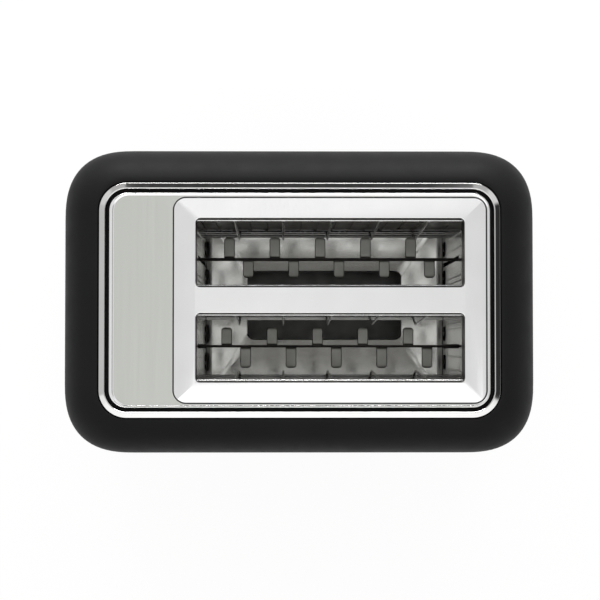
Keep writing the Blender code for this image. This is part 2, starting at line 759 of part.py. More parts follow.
def end_plate(name, inner_x, outward):
    outer_x = inner_x + outward * SHEET
    low_x = min(inner_x, outer_x)
    high_x = max(inner_x, outer_x)
    plate = box(name, (low_x, -chassis_half_width, chassis_base_z),
                (high_x, chassis_half_width, chassis_top_z))
    for side in (-1, 1):
        tongue_y = side * carrier_y
        cut(plate, box("tongue_slot",
                       (low_x - OVERRUN, tongue_y - TONGUE_SLOT / 2, tongue_slot_bottom),
                       (high_x + OVERRUN, tongue_y + TONGUE_SLOT / 2, tongue_slot_top)))
        for offset in (-window_offset, window_offset):
            y = side * slot_y + offset
            cut(plate, box("window",
                           (low_x - OVERRUN, y - window_width / 2, ledge_z + GAP),
                           (high_x + OVERRUN, y + window_width / 2,
                            ledge_z + GAP + WINDOW_HEIGHT)))
    if outward > 0:
        cut(plate, box("tray_way",
                       (low_x - OVERRUN, -tray_half_width - SLIDE_GAP,
                        chassis_base_z - OVERRUN),
                       (high_x + OVERRUN, tray_half_width + SLIDE_GAP,
                        tray_base_z + TRAY_DEPTH + TRAY_HEADROOM)))
    return place(plate, SHEET_STEEL)


def chassis():
    end_plate("chassis_end_left", end_left_x, -1)
    end_plate("chassis_end_right", end_right_x, 1)
    low_x = end_left_x + GAP
    high_x = end_right_x - GAP
    floor = box("floor_plate", (low_x, -reflector_y - SHEET / 2, FLOOR_Z - SHEET),
                (high_x, reflector_y + SHEET / 2, FLOOR_Z))
    cut(floor, slab("crumb_opening", crumb_length / 2, crumb_width / 2, CRUMB_CORNER,
                    FLOOR_Z - SHEET - OVERRUN, FLOOR_Z + OVERRUN, (slot_x, 0),
                    CRUMB_CORNER_STEPS))
    place(floor, SHEET_STEEL)
    for name, side in (("side_reflector_front", -1), ("side_reflector_rear", 1)):
        profile = (
            (side * reflector_y, plate_under_z - GAP),
            (side * reflector_y, ledge_z - SHEET / 2),
            (side * (ledge_y + SHEET / 2), ledge_z - SHEET / 2),
            (side * (ledge_y + SHEET / 2), FLOOR_Z + GAP),
        )
        place(sheet_run(name, profile, low_x, high_x, SHEET), SHEET_STEEL)
    channel_y = channel_half - SHEET / 2
    profile = (
        (-channel_y, FLOOR_Z + GAP),
        (-channel_y, ledge_z - SHEET / 2),
        (channel_y, ledge_z - SHEET / 2),
        (channel_y, FLOOR_Z + GAP),
    )
    place(sheet_run("centre_channel", profile, low_x, high_x, SHEET), SHEET_STEEL)


def heater(suffix, y):
    low_x = end_left_x + GAP
    high_x = end_right_x - GAP
    board = box(f"heater_board_{suffix}", (low_x, y - BOARD_SHEET / 2, board_bottom),
                (high_x, y + BOARD_SHEET / 2, board_top))
    place(board, MICA)
    reach = BOARD_SHEET / 2 + GAP + RIBBON_RADIUS
    low_z = board_bottom - GAP - RIBBON_RADIUS
    high_z = board_top + GAP + RIBBON_RADIUS
    start_x = low_x + RIBBON_END_MARGIN
    pitch = (high_x - low_x - 2 * RIBBON_END_MARGIN) / RIBBON_TURNS
    points = []
    for turn in range(RIBBON_TURNS):
        x = start_x + turn * pitch
        points.append((x, y - reach, low_z))
        points.append((x, y - reach, high_z))
        points.append((x + pitch / 2, y + reach, high_z))
        points.append((x + pitch / 2, y + reach, low_z))
    print(f"heater_ribbon_{suffix}: least gap {least_gap(points, RIBBON_RADIUS, 2):.5f} m")
    ribbon = tube(f"heater_ribbon_{suffix}", points, RIBBON_RADIUS, 0)
    place(ribbon, NICHROME)


def guide_wires(name, slot_side, away):
    """One cage: two rails and five wires on one side of a bread slot."""
    middle = slot_side * slot_y
    rail_z = collar_z - GAP - WIRE_RADIUS
    low_rail_z = ledge_z + GAP + WIRE_RADIUS
    top_y = middle + away * rail_top_offset
    low_y = middle + away * rail_low_offset
    span = (WIRE_COUNT - 1) / 2 * wire_pitch
    rail_end = span + wire_pitch / 3
    top_rail = tube(name, ((slot_x - rail_end, top_y, rail_z),
                           (slot_x + rail_end, top_y, rail_z)), WIRE_RADIUS)
    low_rail = tube("low_rail", ((slot_x - rail_end, low_y, low_rail_z),
                                 (slot_x + rail_end, low_y, low_rail_z)), WIRE_RADIUS)
    wires = []
    for index in range(WIRE_COUNT):
        x = slot_x - span + index * wire_pitch
        wires.append(tube("wire", ((x, top_y, rail_z),
                                   (x, middle + away * wire_knee, wire_knee_z),
                                   (x, low_y, low_rail_z)), WIRE_RADIUS))
    return place(join(top_rail, *wires, low_rail), WIRE_STEEL)


def carrier_outline(low_x, high_x, slot_side):
    """Plan outline of a carrier: a straight spine with tabs to both sides."""
    def tab(x, side, forward):
        base_y = side * SPINE_WIDTH / 2
        tip_y = side * (SPINE_WIDTH / 2 + tab_length) + slot_side * CARRIER_INWARD
        shoulder_y = tip_y - side * TAB_CORNER
        half = TAB_WIDTH / 2
        slant = TAB_CORNER * (1 - math.sqrt(0.5))
        points = [
            (x - half, base_y),
            (x - half, shoulder_y),
            (x - half + slant, tip_y - side * slant),
            (x - half + TAB_CORNER, tip_y),
            (x + half - TAB_CORNER, tip_y),
            (x + half - slant, tip_y - side * slant),
            (x + half, shoulder_y),
            (x + half, base_y),
        ]
        return points if forward else list(reversed(points))

    points = [(low_x, -SPINE_WIDTH / 2)]
    for index in range(TAB_COUNT):
        points += tab(slot_x - tab_front_start + index * tab_pitch, -1, True)
    points += [(high_x, -SPINE_WIDTH / 2), (high_x, SPINE_WIDTH / 2)]
    for index in reversed(range(TAB_COUNT)):
        points += tab(slot_x - tab_rear_start + index * tab_pitch, 1, False)
    points.append((low_x, SPINE_WIDTH / 2))
    return points


def bread_carrier(name, side):
    low_x = end_left_x - SHEET - TONGUE_LEFT
    high_x = end_right_x + SHEET + TONGUE_RIGHT
    middle = side * carrier_y
    outline = [(x, y + middle) for x, y in carrier_outline(low_x, high_x, side)]
    carrier = loft(name, [(outline, carrier_z - CARRIER_SHEET), (outline, carrier_z)],
                   True, True)
    spine = box("spine", (low_x + MERGE, middle - SPINE_SHEET / 2,
                          carrier_z - SPINE_HEIGHT),
                (high_x - MERGE, middle + SPINE_SHEET / 2,
                 carrier_z - CARRIER_SHEET / 2))
    return place(join(carrier, spine), SHEET_STEEL)


def lifting_gear():
    carriers = [bread_carrier("bread_carrier_front", -1), bread_carrier("bread_carrier_rear", 1)]
    bush_hole = ROD_RADIUS + GAP + BUSH_WALL + GAP
    bracket = box("carriage_bracket",
                  (bracket_x - BRACKET_SHEET, -bracket_half_width, bracket_bottom),
                  (bracket_x, bracket_half_width, carrier_z))
    shelf = box("shelf", (shelf_end_x, -SHELF_HALF_WIDTH, bracket_bottom),
                (bracket_x - BRACKET_SHEET / 2, SHELF_HALF_WIDTH,
                 bracket_bottom + BRACKET_SHEET))
    join(bracket, shelf)
    cut(bracket, rod("bush_hole", (rod_x, 0, bracket_bottom), bush_hole, 4 * BRACKET_SHEET))
    place(bracket, SHEET_STEEL)

    bore = ROD_RADIUS + GAP
    sleeve = bore + BUSH_WALL
    flange_top = -GAP
    bush = turned("carriage_bush",
                  ((sleeve, BUSH_ABOVE), (sleeve, flange_top), (BUSH_FLANGE_RADIUS, flange_top),
                   (BUSH_FLANGE_RADIUS, flange_top - BUSH_FLANGE),
                   (bore, flange_top - BUSH_FLANGE), (bore, BUSH_ABOVE)),
                  (rod_x, 0, bracket_bottom))
    place(bush, BLACK_PLASTIC)

    knob_face_x = -reach
    knob_back_x = knob_face_x + KNOB_DEPTH
    arm_end_x = knob_back_x - ARM_INTO_KNOB
    arm = box("lever_arm",
              (arm_end_x, lever_y - ARM_SHEET / 2, lever_z - ARM_HEIGHT / 2),
              (bracket_x - BRACKET_SHEET - GAP, lever_y + ARM_SHEET / 2,
               lever_z + ARM_HEIGHT / 2))
    place(arm, SHEET_STEEL)
    knob = box("lever_knob",
               (knob_face_x, lever_y - knob_width / 2, lever_z - KNOB_HEIGHT / 2),
               (knob_back_x, lever_y + knob_width / 2, lever_z + KNOB_HEIGHT / 2))
    bevel(knob, KNOB_ROUND, 3)
    cut(knob, box("arm_pocket",
                  (arm_end_x - GAP, lever_y - ARM_SHEET / 2 - GAP,
                   lever_z - ARM_HEIGHT / 2 - GAP),
                  (knob_back_x + OVERRUN, lever_y + ARM_SHEET / 2 + GAP,
                   lever_z + ARM_HEIGHT / 2 + GAP)))
    place(knob, GLOSS_BLACK)

    armature = box("armature_plate",
                   (magnet_x - MAGNET_LENGTH / 2, -SHELF_HALF_WIDTH,
                    armature_top_z - ARMATURE_SHEET),
                   (min(magnet_x + MAGNET_LENGTH / 2, rod_x - BUSH_FLANGE_RADIUS - GAP),
                    SHELF_HALF_WIDTH, armature_top_z))
    place(armature, SHEET_STEEL)

    slide = bpy.data.objects.new("carriage_axis", None)
    slide.location = (rod_x, 0, carrier_z)
    parts.objects.link(slide)
    adopt(slide, *carriers, bracket, bush, arm, knob, armature)


def rod_and_spring():
    guide = rod("guide_rod", (rod_x, 0, (chassis_base_z + rod_top) / 2), ROD_RADIUS,
                rod_top - chassis_base_z)
    place(guide, WIRE_STEEL)
    wall_x = end_left_x - SHEET - GAP
    far_x = rod_x - ROD_BRACKET_WIDTH / 3
    top = box("rod_bracket", (far_x, -ROD_BRACKET_WIDTH / 2, rod_bracket_z),
              (wall_x, ROD_BRACKET_WIDTH / 2, rod_bracket_z + SHEET))
    drop = box("bracket_drop",
               (wall_x - SHEET, -ROD_BRACKET_WIDTH / 2, rod_bracket_z - ROD_BRACKET_DROP),
               (wall_x, ROD_BRACKET_WIDTH / 2, rod_bracket_z + SHEET / 2))
    join(top, drop)
    cut(top, rod("rod_hole", (rod_x, 0, rod_bracket_z), ROD_RADIUS + GAP, 4 * SHEET))
    place(top, SHEET_STEEL)

    low_z = chassis_base_z + SPRING_WIRE
    high_z = bracket_bottom - GAP - BUSH_FLANGE - GAP - SPRING_WIRE
    steps = SPRING_TURNS * SPRING_POINTS
    points = []
    for step in range(steps + 1):
        angle = 2 * math.pi * step / SPRING_POINTS
        points.append((rod_x + SPRING_RADIUS * math.cos(angle),
                       SPRING_RADIUS * math.sin(angle),
                       low_z + (high_z - low_z) * step / steps))
    gap = least_gap(points, SPRING_WIRE, SPRING_POINTS // 2)
    print(f"return_spring: least gap {gap:.5f} m")
    place(tube("return_spring", points, SPRING_WIRE, 0), WIRE_STEEL)


def magnet():
    low = (magnet_x - MAGNET_LENGTH / 2, -MAGNET_WIDTH / 2, chassis_base_z)
    high = (magnet_x + MAGNET_LENGTH / 2, MAGNET_WIDTH / 2, magnet_top_z)
    core = box("magnet_core", low, high)
    window_out = MAGNET_WIDTH / 2 - MAGNET_LEG
    window_in = MAGNET_LEG
    coil_low_z = chassis_base_z + MAGNET_YOKE + GAP
    for side in (-1, 1):
        cut(core, box("core_window",
                      (low[0] - OVERRUN, min(side * window_in, side * window_out),
                       chassis_base_z + MAGNET_YOKE),
                      (high[0] + OVERRUN, max(side * window_in, side * window_out),
                       magnet_top_z + OVERRUN)))
    place(core, SHEET_STEEL)
    coil = box("magnet_coil",
               (low[0] - GAP - COIL_SIDE, -window_out + GAP, coil_low_z),
               (high[0] + GAP + COIL_SIDE, window_out - GAP, magnet_top_z - COIL_TOP_MARGIN))
    bevel(coil, SMALL_ROUND, 2)
    cut(coil, box("coil_hole",
                  (low[0] - GAP, -window_in - GAP, coil_low_z - OVERRUN),
                  (high[0] + GAP, window_in + GAP, magnet_top_z)))
    place(coil, COPPER)


def button_heights():
    return [dial_z + (index + 2) * button_pitch for index in range(BUTTON_COUNT)]


def control_panel():
    panel = box("control_panel", (panel_rim_x, -panel_half_width, PANEL_LOW_Z),
                (panel_back_x, panel_half_width, panel_high_z))
    cut(panel, box("panel_pocket",
                   (panel_rim_x - OVERRUN, -panel_half_width + PANEL_SHEET,
                    PANEL_LOW_Z + PANEL_SHEET),
                   (panel_face_x, panel_half_width - PANEL_SHEET,
                    panel_high_z - PANEL_SHEET)))
    for y in (circuit_side_y + POST_INSET, CIRCUIT_NEAR_Y - POST_INSET):
        for z in (circuit_low_z + POST_INSET, circuit_high_z - POST_INSET):
            post_end = circuit_x - GAP
            join(panel, rod("post", ((panel_back_x - PANEL_SHEET / 2 + post_end) / 2, y, z),
                            POST_RADIUS, post_end - panel_back_x + PANEL_SHEET / 2, "x",
                            POST_STEPS))
    slot_side = ARM_SHEET / 2 + SLIDE_GAP
    lever_low = lever_z - carrier_travel - ARM_HEIGHT / 2 - SLIDE_GAP
    lever_high = lever_z + ARM_HEIGHT / 2 + SLIDE_GAP
    cut(panel, box("lever_slot",
                   (panel_face_x - OVERRUN, lever_y - slot_side, lever_low),
                   (panel_back_x + OVERRUN, lever_y + slot_side, lever_high)))
    cut(panel, rod("dial_hole", (panel_face_x, control_y, dial_z), DIAL_SHAFT + GAP,
                   4 * PANEL_SHEET, "x"))
    for z in button_heights():
        cut(panel, box("button_hole",
                       (panel_face_x - OVERRUN, control_y - BUTTON_WIDTH / 2 - GAP,
                        z - BUTTON_HEIGHT / 2 - GAP),
                       (panel_back_x + OVERRUN, control_y + BUTTON_WIDTH / 2 + GAP,
                        z + BUTTON_HEIGHT / 2 + GAP)))
    return place(panel, GLOSS_BLACK)


def buttons_and_switches():
    names = ("reheat_button", "defrost_button", "cancel_button")
    for name, z in zip(names, button_heights()):
        face_x = panel_face_x - BUTTON_PROUD
        flange_x = panel_back_x + GAP
        stem_end = switch_face_x - GAP - BUTTON_TRAVEL
        middle = (face_x, control_y, z)
        button = box(name, (face_x, control_y - BUTTON_WIDTH / 2, z - BUTTON_HEIGHT / 2),
                     (flange_x + BUTTON_LIP / 2, control_y + BUTTON_WIDTH / 2,
                      z + BUTTON_HEIGHT / 2), middle)
        flange = box("button_flange",
                     (flange_x, control_y - BUTTON_WIDTH / 2 - BUTTON_LIP,
                      z - BUTTON_HEIGHT / 2 - BUTTON_LIP),
                     (flange_x + BUTTON_LIP, control_y + BUTTON_WIDTH / 2 + BUTTON_LIP,
                      z + BUTTON_HEIGHT / 2 + BUTTON_LIP))
        stem = box("button_stem",
                   (flange_x, control_y - BUTTON_STEM / 2, z - BUTTON_STEM / 2),
                   (stem_end, control_y + BUTTON_STEM / 2, z + BUTTON_STEM / 2))
        bevel(button, SMALL_ROUND, 2)
        place(join(button, flange, stem), GLOSS_BLACK)
        switch = box(name.replace("button", "switch"),
                     (switch_face_x, control_y - SWITCH_SIZE / 2, z - SWITCH_SIZE / 2),
                     (circuit_x - GAP, control_y + SWITCH_SIZE / 2, z + SWITCH_SIZE / 2))
        place(bevel(switch, SMALL_ROUND, 1), COMPONENT)


def browning_dial():
    pot_face_x = switch_face_x - GAP
    centre = (panel_face_x - SLIDE_GAP, control_y, dial_z)
    dial = rod("browning_dial", centre, DIAL_RADIUS, DIAL_DEPTH / 2, "x", DIAL_STEPS)
    dial.location.x -= DIAL_DEPTH / 4
    bevel(dial, SMALL_ROUND, 2)
    shaft_end = pot_face_x - GAP
    shaft_start = centre[0] - DIAL_DEPTH / 4
    shaft = rod("dial_shaft", ((shaft_start + shaft_end) / 2, control_y, dial_z), DIAL_SHAFT,
                shaft_end - shaft_start, "x")
    grip = box("dial_grip",
               (centre[0] - DIAL_DEPTH, control_y - DIAL_GRIP / 2,
                dial_z - DIAL_RADIUS + 2 * SMALL_ROUND),
               (centre[0] - DIAL_DEPTH / 4, control_y + DIAL_GRIP / 2,
                dial_z + DIAL_RADIUS - 2 * SMALL_ROUND))
    place(join(dial, grip, shaft), GLOSS_BLACK)
    pot_depth = circuit_x - GAP - pot_face_x
    pot = rod("potentiometer", (pot_face_x + pot_depth / 2, control_y, dial_z), POT_RADIUS,
              pot_depth, "x")
    place(pot, COMPONENT)


def circuit():
    board_back_x = circuit_x + CIRCUIT_SHEET
    board = box("circuit_board", (circuit_x, circuit_side_y, circuit_low_z),
                (board_back_x, CIRCUIT_NEAR_Y, circuit_high_z))
    place(board, BOARD_GREEN)
    on_board_x = board_back_x + GAP
    capacitor = box("capacitor",
                    (on_board_x, control_y - CAPACITOR_WIDTH / 2, capacitor_z),
                    (on_board_x + CAPACITOR_DEPTH, control_y + CAPACITOR_WIDTH / 2,
                     capacitor_z + CAPACITOR_HEIGHT))
    place(bevel(capacitor, SMALL_ROUND, 2), COMPONENT)
    switch = box("mains_switch",
                 (on_board_x, control_y - MAINS_SWITCH_WIDTH / 2, mains_switch_z),
                 (on_board_x + MAINS_SWITCH_DEPTH, control_y + MAINS_SWITCH_WIDTH / 2,
                  mains_switch_z + MAINS_SWITCH_HEIGHT))
    place(bevel(switch, SMALL_ROUND, 2), COMPONENT)


def crumb_tray():
    top_z = tray_base_z + TRAY_DEPTH
    door_half = tray_half_width + TRAY_DOOR_MARGIN
    door_out_x = tray_door_x + TRAY_DOOR_SHEET
    origin = (tray_door_x, 0, tray_base_z)
    tray = box("crumb_tray", (tray_left_x, -tray_half_width, tray_base_z),
               (tray_door_x + TRAY_DOOR_SHEET / 2, tray_half_width, top_z), origin)
    cut(tray, box("tray_basin",
                  (tray_left_x + SHEET, -tray_half_width + SHEET, tray_base_z + SHEET),
                  (tray_door_x, tray_half_width - SHEET, top_z + OVERRUN)))
    door = box("tray_door", (tray_door_x, -door_half, tray_base_z),
               (door_out_x, door_half, TRAY_DOOR_HIGH_Z))
    pull = box("tray_pull", (tray_door_x + TRAY_DOOR_SHEET / 2, -PULL_WIDTH / 2, PULL_Z),
               (reach, PULL_WIDTH / 2, PULL_Z + PULL_THICK))
    bevel(pull, SMALL_ROUND, 2)
    return place(join(tray, door, pull), SHEET_STEEL)


def cord_gland():
    face = gland_face_x
    nut = gland_nut_x
    gland = turned("cord_gland",
                   ((GLAND_NECK, GLAND_OUT + SMALL_ROUND), (GLAND_FLANGE, GLAND_OUT / 2),
                    (GLAND_FLANGE, 0), (GLAND_NECK, 0), (GLAND_NECK, nut - face),
                    (GLAND_FLANGE - SMALL_ROUND, nut - face),
                    (GLAND_FLANGE - SMALL_ROUND, nut - face - GLAND_NUT),
                    (GLAND_BORE, nut - face - GLAND_NUT), (GLAND_BORE, GLAND_OUT + SMALL_ROUND)),
                   (face, gland_y, GLAND_Z), "x")
    return place(gland, RUBBER)


def build():
    outer_shell()
    trim_ring()
    seat_frame()
    top_plate()
    slot_frame()
    base_plate()
    feet_and_screws()
    chassis()
    heater("front", -board_y)
    heater("centre", 0)
    heater("rear", board_y)
    for slot_name, slot_side in (("front", -1), ("rear", 1)):
        guide_wires(f"guide_wires_{slot_name}_outer", slot_side, slot_side)
        guide_wires(f"guide_wires_{slot_name}_inner", slot_side, -slot_side)
    lifting_gear()
    rod_and_spring()
    magnet()
    control_panel()
    buttons_and_switches()
    browning_dial()
    circuit()
    crumb_tray()
    cord_gland()


build()
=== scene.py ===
"""The finish of a two-slice toaster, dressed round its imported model, in metres, +Z up.

+X runs along the bread slots, away from the end with the lever. +Y is the rear side.
"""

import math

import bmesh
import bpy
from mathutils import Matrix, Vector


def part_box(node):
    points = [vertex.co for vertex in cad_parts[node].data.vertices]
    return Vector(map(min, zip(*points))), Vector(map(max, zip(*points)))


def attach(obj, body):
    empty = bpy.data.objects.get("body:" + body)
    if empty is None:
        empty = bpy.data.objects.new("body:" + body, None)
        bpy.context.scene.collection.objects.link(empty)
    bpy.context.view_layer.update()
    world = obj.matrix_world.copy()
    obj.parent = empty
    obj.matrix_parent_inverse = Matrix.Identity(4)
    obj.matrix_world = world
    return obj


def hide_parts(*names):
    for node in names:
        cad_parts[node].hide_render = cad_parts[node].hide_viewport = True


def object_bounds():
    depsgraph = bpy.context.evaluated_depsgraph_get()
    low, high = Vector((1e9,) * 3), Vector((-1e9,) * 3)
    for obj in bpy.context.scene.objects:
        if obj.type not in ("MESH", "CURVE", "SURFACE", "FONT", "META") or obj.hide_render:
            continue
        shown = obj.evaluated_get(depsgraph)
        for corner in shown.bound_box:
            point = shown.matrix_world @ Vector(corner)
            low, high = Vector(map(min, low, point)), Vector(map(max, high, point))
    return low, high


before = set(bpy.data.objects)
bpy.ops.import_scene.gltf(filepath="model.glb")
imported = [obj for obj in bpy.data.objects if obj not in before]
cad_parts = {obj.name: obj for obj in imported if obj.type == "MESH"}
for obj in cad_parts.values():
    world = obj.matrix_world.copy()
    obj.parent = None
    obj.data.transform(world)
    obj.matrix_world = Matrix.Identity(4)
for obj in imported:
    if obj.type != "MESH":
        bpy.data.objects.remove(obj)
cad_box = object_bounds()

MM = 0.001

# Shapes that the frame's boxes don't give: the body
BODY_CORNER = 38.4 * MM
BODY_CORNER_POWER = 2.6
BODY_TUCK = 3.5 * MM
SHOULDER_DROP = 30 * MM
SHOULDER_TURN = math.radians(75)
BODY_WALL = 2.5 * MM
LIP_WIDTH = 1.3 * MM
LIP_GAP = 0.7 * MM
LIP_ROUND = 0.35 * MM
FOOT_ROUND = 0.8 * MM

# The ring, the top plate and the slots' frame
RING_CORNER = 15 * MM
RING_WIDTH = 3.3 * MM
GROOVE = 2.1 * MM
SLOT_CORNER = 2.4 * MM
SLOT_WIDTH = 36.6 * MM
SLOT_ROLL = 0.40 * MM
FRAME_CORNER = 6.5 * MM
FRAME_RISE = 1.3 * MM
COLLAR_WALL = 1.0 * MM
SHADOW_GAP = 0.75 * MM

# The control panel, its lever, dial and numbers
PANEL_CORNER = 6 * MM
PANEL_SHEET = 1.8 * MM
PANEL_DEPTH = 6.2 * MM
LEVER_SLOT_HALF = 1.5 * MM
LEVER_SLOT_LOW = 51 * MM
LEVER_SLOT_HIGH = 118 * MM
DIAL_RADIUS = 12 * MM
DIAL_FLUTES = 36
DIAL_HOLE = 3.3 * MM
DIAL_SHAFT = 2.9 * MM
DIAL_SWEEP = math.radians(270)
NUMBER_COUNT = 6
NUMBER_RADIUS = 16.4 * MM
NUMBER_SIZE = 4.2 * MM
POST_RADIUS = 2.6 * MM
POST_YS = (-40 * MM, -8 * MM)
POST_ZS = (33 * MM, 127 * MM)
SCOOP_RADIUS = 6 * MM
SCOOP_RISE = 4.6 * MM

# The bread carriers and the guide wires
CARRIER_INWARD = 0.85 * MM    # of a slot's middle, towards the other slot
SPINE_HALF = 0.7 * MM
TAB_WIDTH = 6 * MM
TAB_COUNT = 5
TAB_CORNER = 1.8 * MM
TAB_PITCH_SHARE = 0.178       # of a slot's length, as the wires stand too
TAB_REAR_SHARE = 2.169        # of the pitch, from the slot's middle to the first tab
TAB_FRONT_SHARE = 1.752
WIRE_RADIUS = 0.7 * MM
WIRE_COUNT = 5
KNEE_Z = 81 * MM
KNEE_OFFSET = 13.65 * MM
RAIL_OFFSET = 17.6 * MM
LOW_RAIL_OFFSET = 19.25 * MM
WELD_HALF_LENGTH = 1.0 * MM
WIRE_SHIFT = 1.1 * MM
WIRE_EXTRA_PITCH = 0.6 * MM
FRONT_TAB_SHIFT = -1.5 * MM

# The end plates and the floor
WINDOW_HALF_WIDTH = 4.4 * MM
WINDOW_OFFSET = 8.5 * MM
WINDOW_LOW_Z = 58.3 * MM
WINDOW_HEIGHT = 18 * MM
TONGUE_SLOT = 2.4 * MM
TONGUE_LOW_Z = 60 * MM
TONGUE_HIGH_Z = 149 * MM
RIB_OFFSETS = (-13.5 * MM, -10.5 * MM, 5.0 * MM, 12.5 * MM)
LEDGE_Y = 42 * MM
LEDGE_Z = 58 * MM
CRUMB_HALF_X = 46.5 * MM
CRUMB_HALF_Y = 20.4 * MM
CRUMB_CORNER = 4 * MM
HOPPER_FALL = 4 * MM
FLANGE = 3.4 * MM
FLANGE_FALL = 0.9 * MM
CRUMB_SHIFT = 0.6 * MM        # of the opening's middle towards the rear

# The tray, the cord's outlet and the base
TRAY_DOOR_TOP = 27.5 * MM
TRAY_PAN_HEIGHT = 7.2 * MM
TRAY_DOOR_X = 123.6 * MM
GLAND_HOLE = 5.5 * MM
SCREW_HOLE = 1.8 * MM
SCREW_X = 78 * MM
SCREW_Y = 62 * MM
VENT_COUNT = 5
VENT_PITCH = 9 * MM
BASE_PANEL = (88 * MM, 34 * MM, 8 * MM)     # half length, half width and corner
BASE_GROOVE = 3 * MM

# Each point of the ring's section: inward from its outer wall, down from its top, in mm
RING_SECTION = ((0, 5.2), (0, 1.22), (0.03, 1.14), (0.09, 1.08), (0.18, 1.035),
                (0.27, 1.0), (2.10, 0.26), (2.20, 0.22), (2.42, 0.10), (2.62, 0.02),
                (2.80, 0.0), (2.98, 0.04), (3.14, 0.15), (3.25, 0.32), (3.3, 0.52),
                (3.3, 5.2))

# The deck's rolled rim: inward from its edge, down from its top, in mm
RIM_SECTION = ((0, 5.2), (0, 0.55), (0.05, 0.36), (0.17, 0.17), (0.36, 0.05), (0.60, 0.0),
               (1.20, 0.0), (1.50, 0.03), (1.85, 0.12), (2.15, 0.23), (2.40, 0.32),
               (2.70, 0.35))
RIM_SHARE = 0.53              # of the section's width on the long sides and the right
RIM_LEFT_SHARE = 0.95

# Light and camera, in metres, millimetres of lens and world strength
SKY_LEVEL = 0.86
FRONT_PANEL = 0.45
REAR_PANEL = 0.16
FLOOR_REACH = 4.0
FLOOR_WHITE_SHARE = 0.94
SOFTBOX_SIZE = (1.6, 0.5)
SOFTBOX_PLACE = (0, 1.5, 0.55)
SOFTBOX_AIM = (0, 0, 0.15)
SOFTBOX_POWER = 38.0
CAMERA_PLACE = (-0.0084, -0.0260, 1.040)
CAMERA_AIM = (0.0001, 0.0000, 0.180)
CAMERA_LENS = 97.4

# How finely pieces are made
CORNER_STEPS = 20
ROUND_STEPS = 4
SIDE_STEPS = 10
SHOULDER_STEPS = 20
OVERRUN = 2 * MM
CREASE = math.radians(32)


def corners(node):
    """Lowest and highest corner of a node at rest."""
    low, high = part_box(node)
    return Vector(low), Vector(high)


def middle_of(node):
    low, high = corners(node)
    return (low + high) / 2


shell_low, shell_high = corners("outer_shell")
ring_low, ring_high = corners("trim_ring")
seat_low, seat_high = corners("seat_frame")
deck_low, deck_high = corners("top_plate")
slots_low, slots_high = corners("slot_frame")
panel_low, panel_high = corners("control_panel")
tray_low, tray_high = corners("crumb_tray")
gland_low, gland_high = corners("cord_gland")
floor_low, floor_high = corners("floor_plate")
end_left_low, end_left_high = corners("chassis_end_left")
end_right_low, end_right_high = corners("chassis_end_right")

panel_face_x = panel_low.x + PANEL_DEPTH
panel_back_x = panel_face_x + PANEL_SHEET
slot_x = (slots_low.x + slots_high.x) / 2
frame_half_x = (slots_high.x - slots_low.x) / 2
slot_half_length = (end_right_low.x - end_left_high.x) / 2 - 0.3 * MM
collar_half = slots_high.y - 10.8 * MM
slot_y = collar_half - SLOT_WIDTH / 2


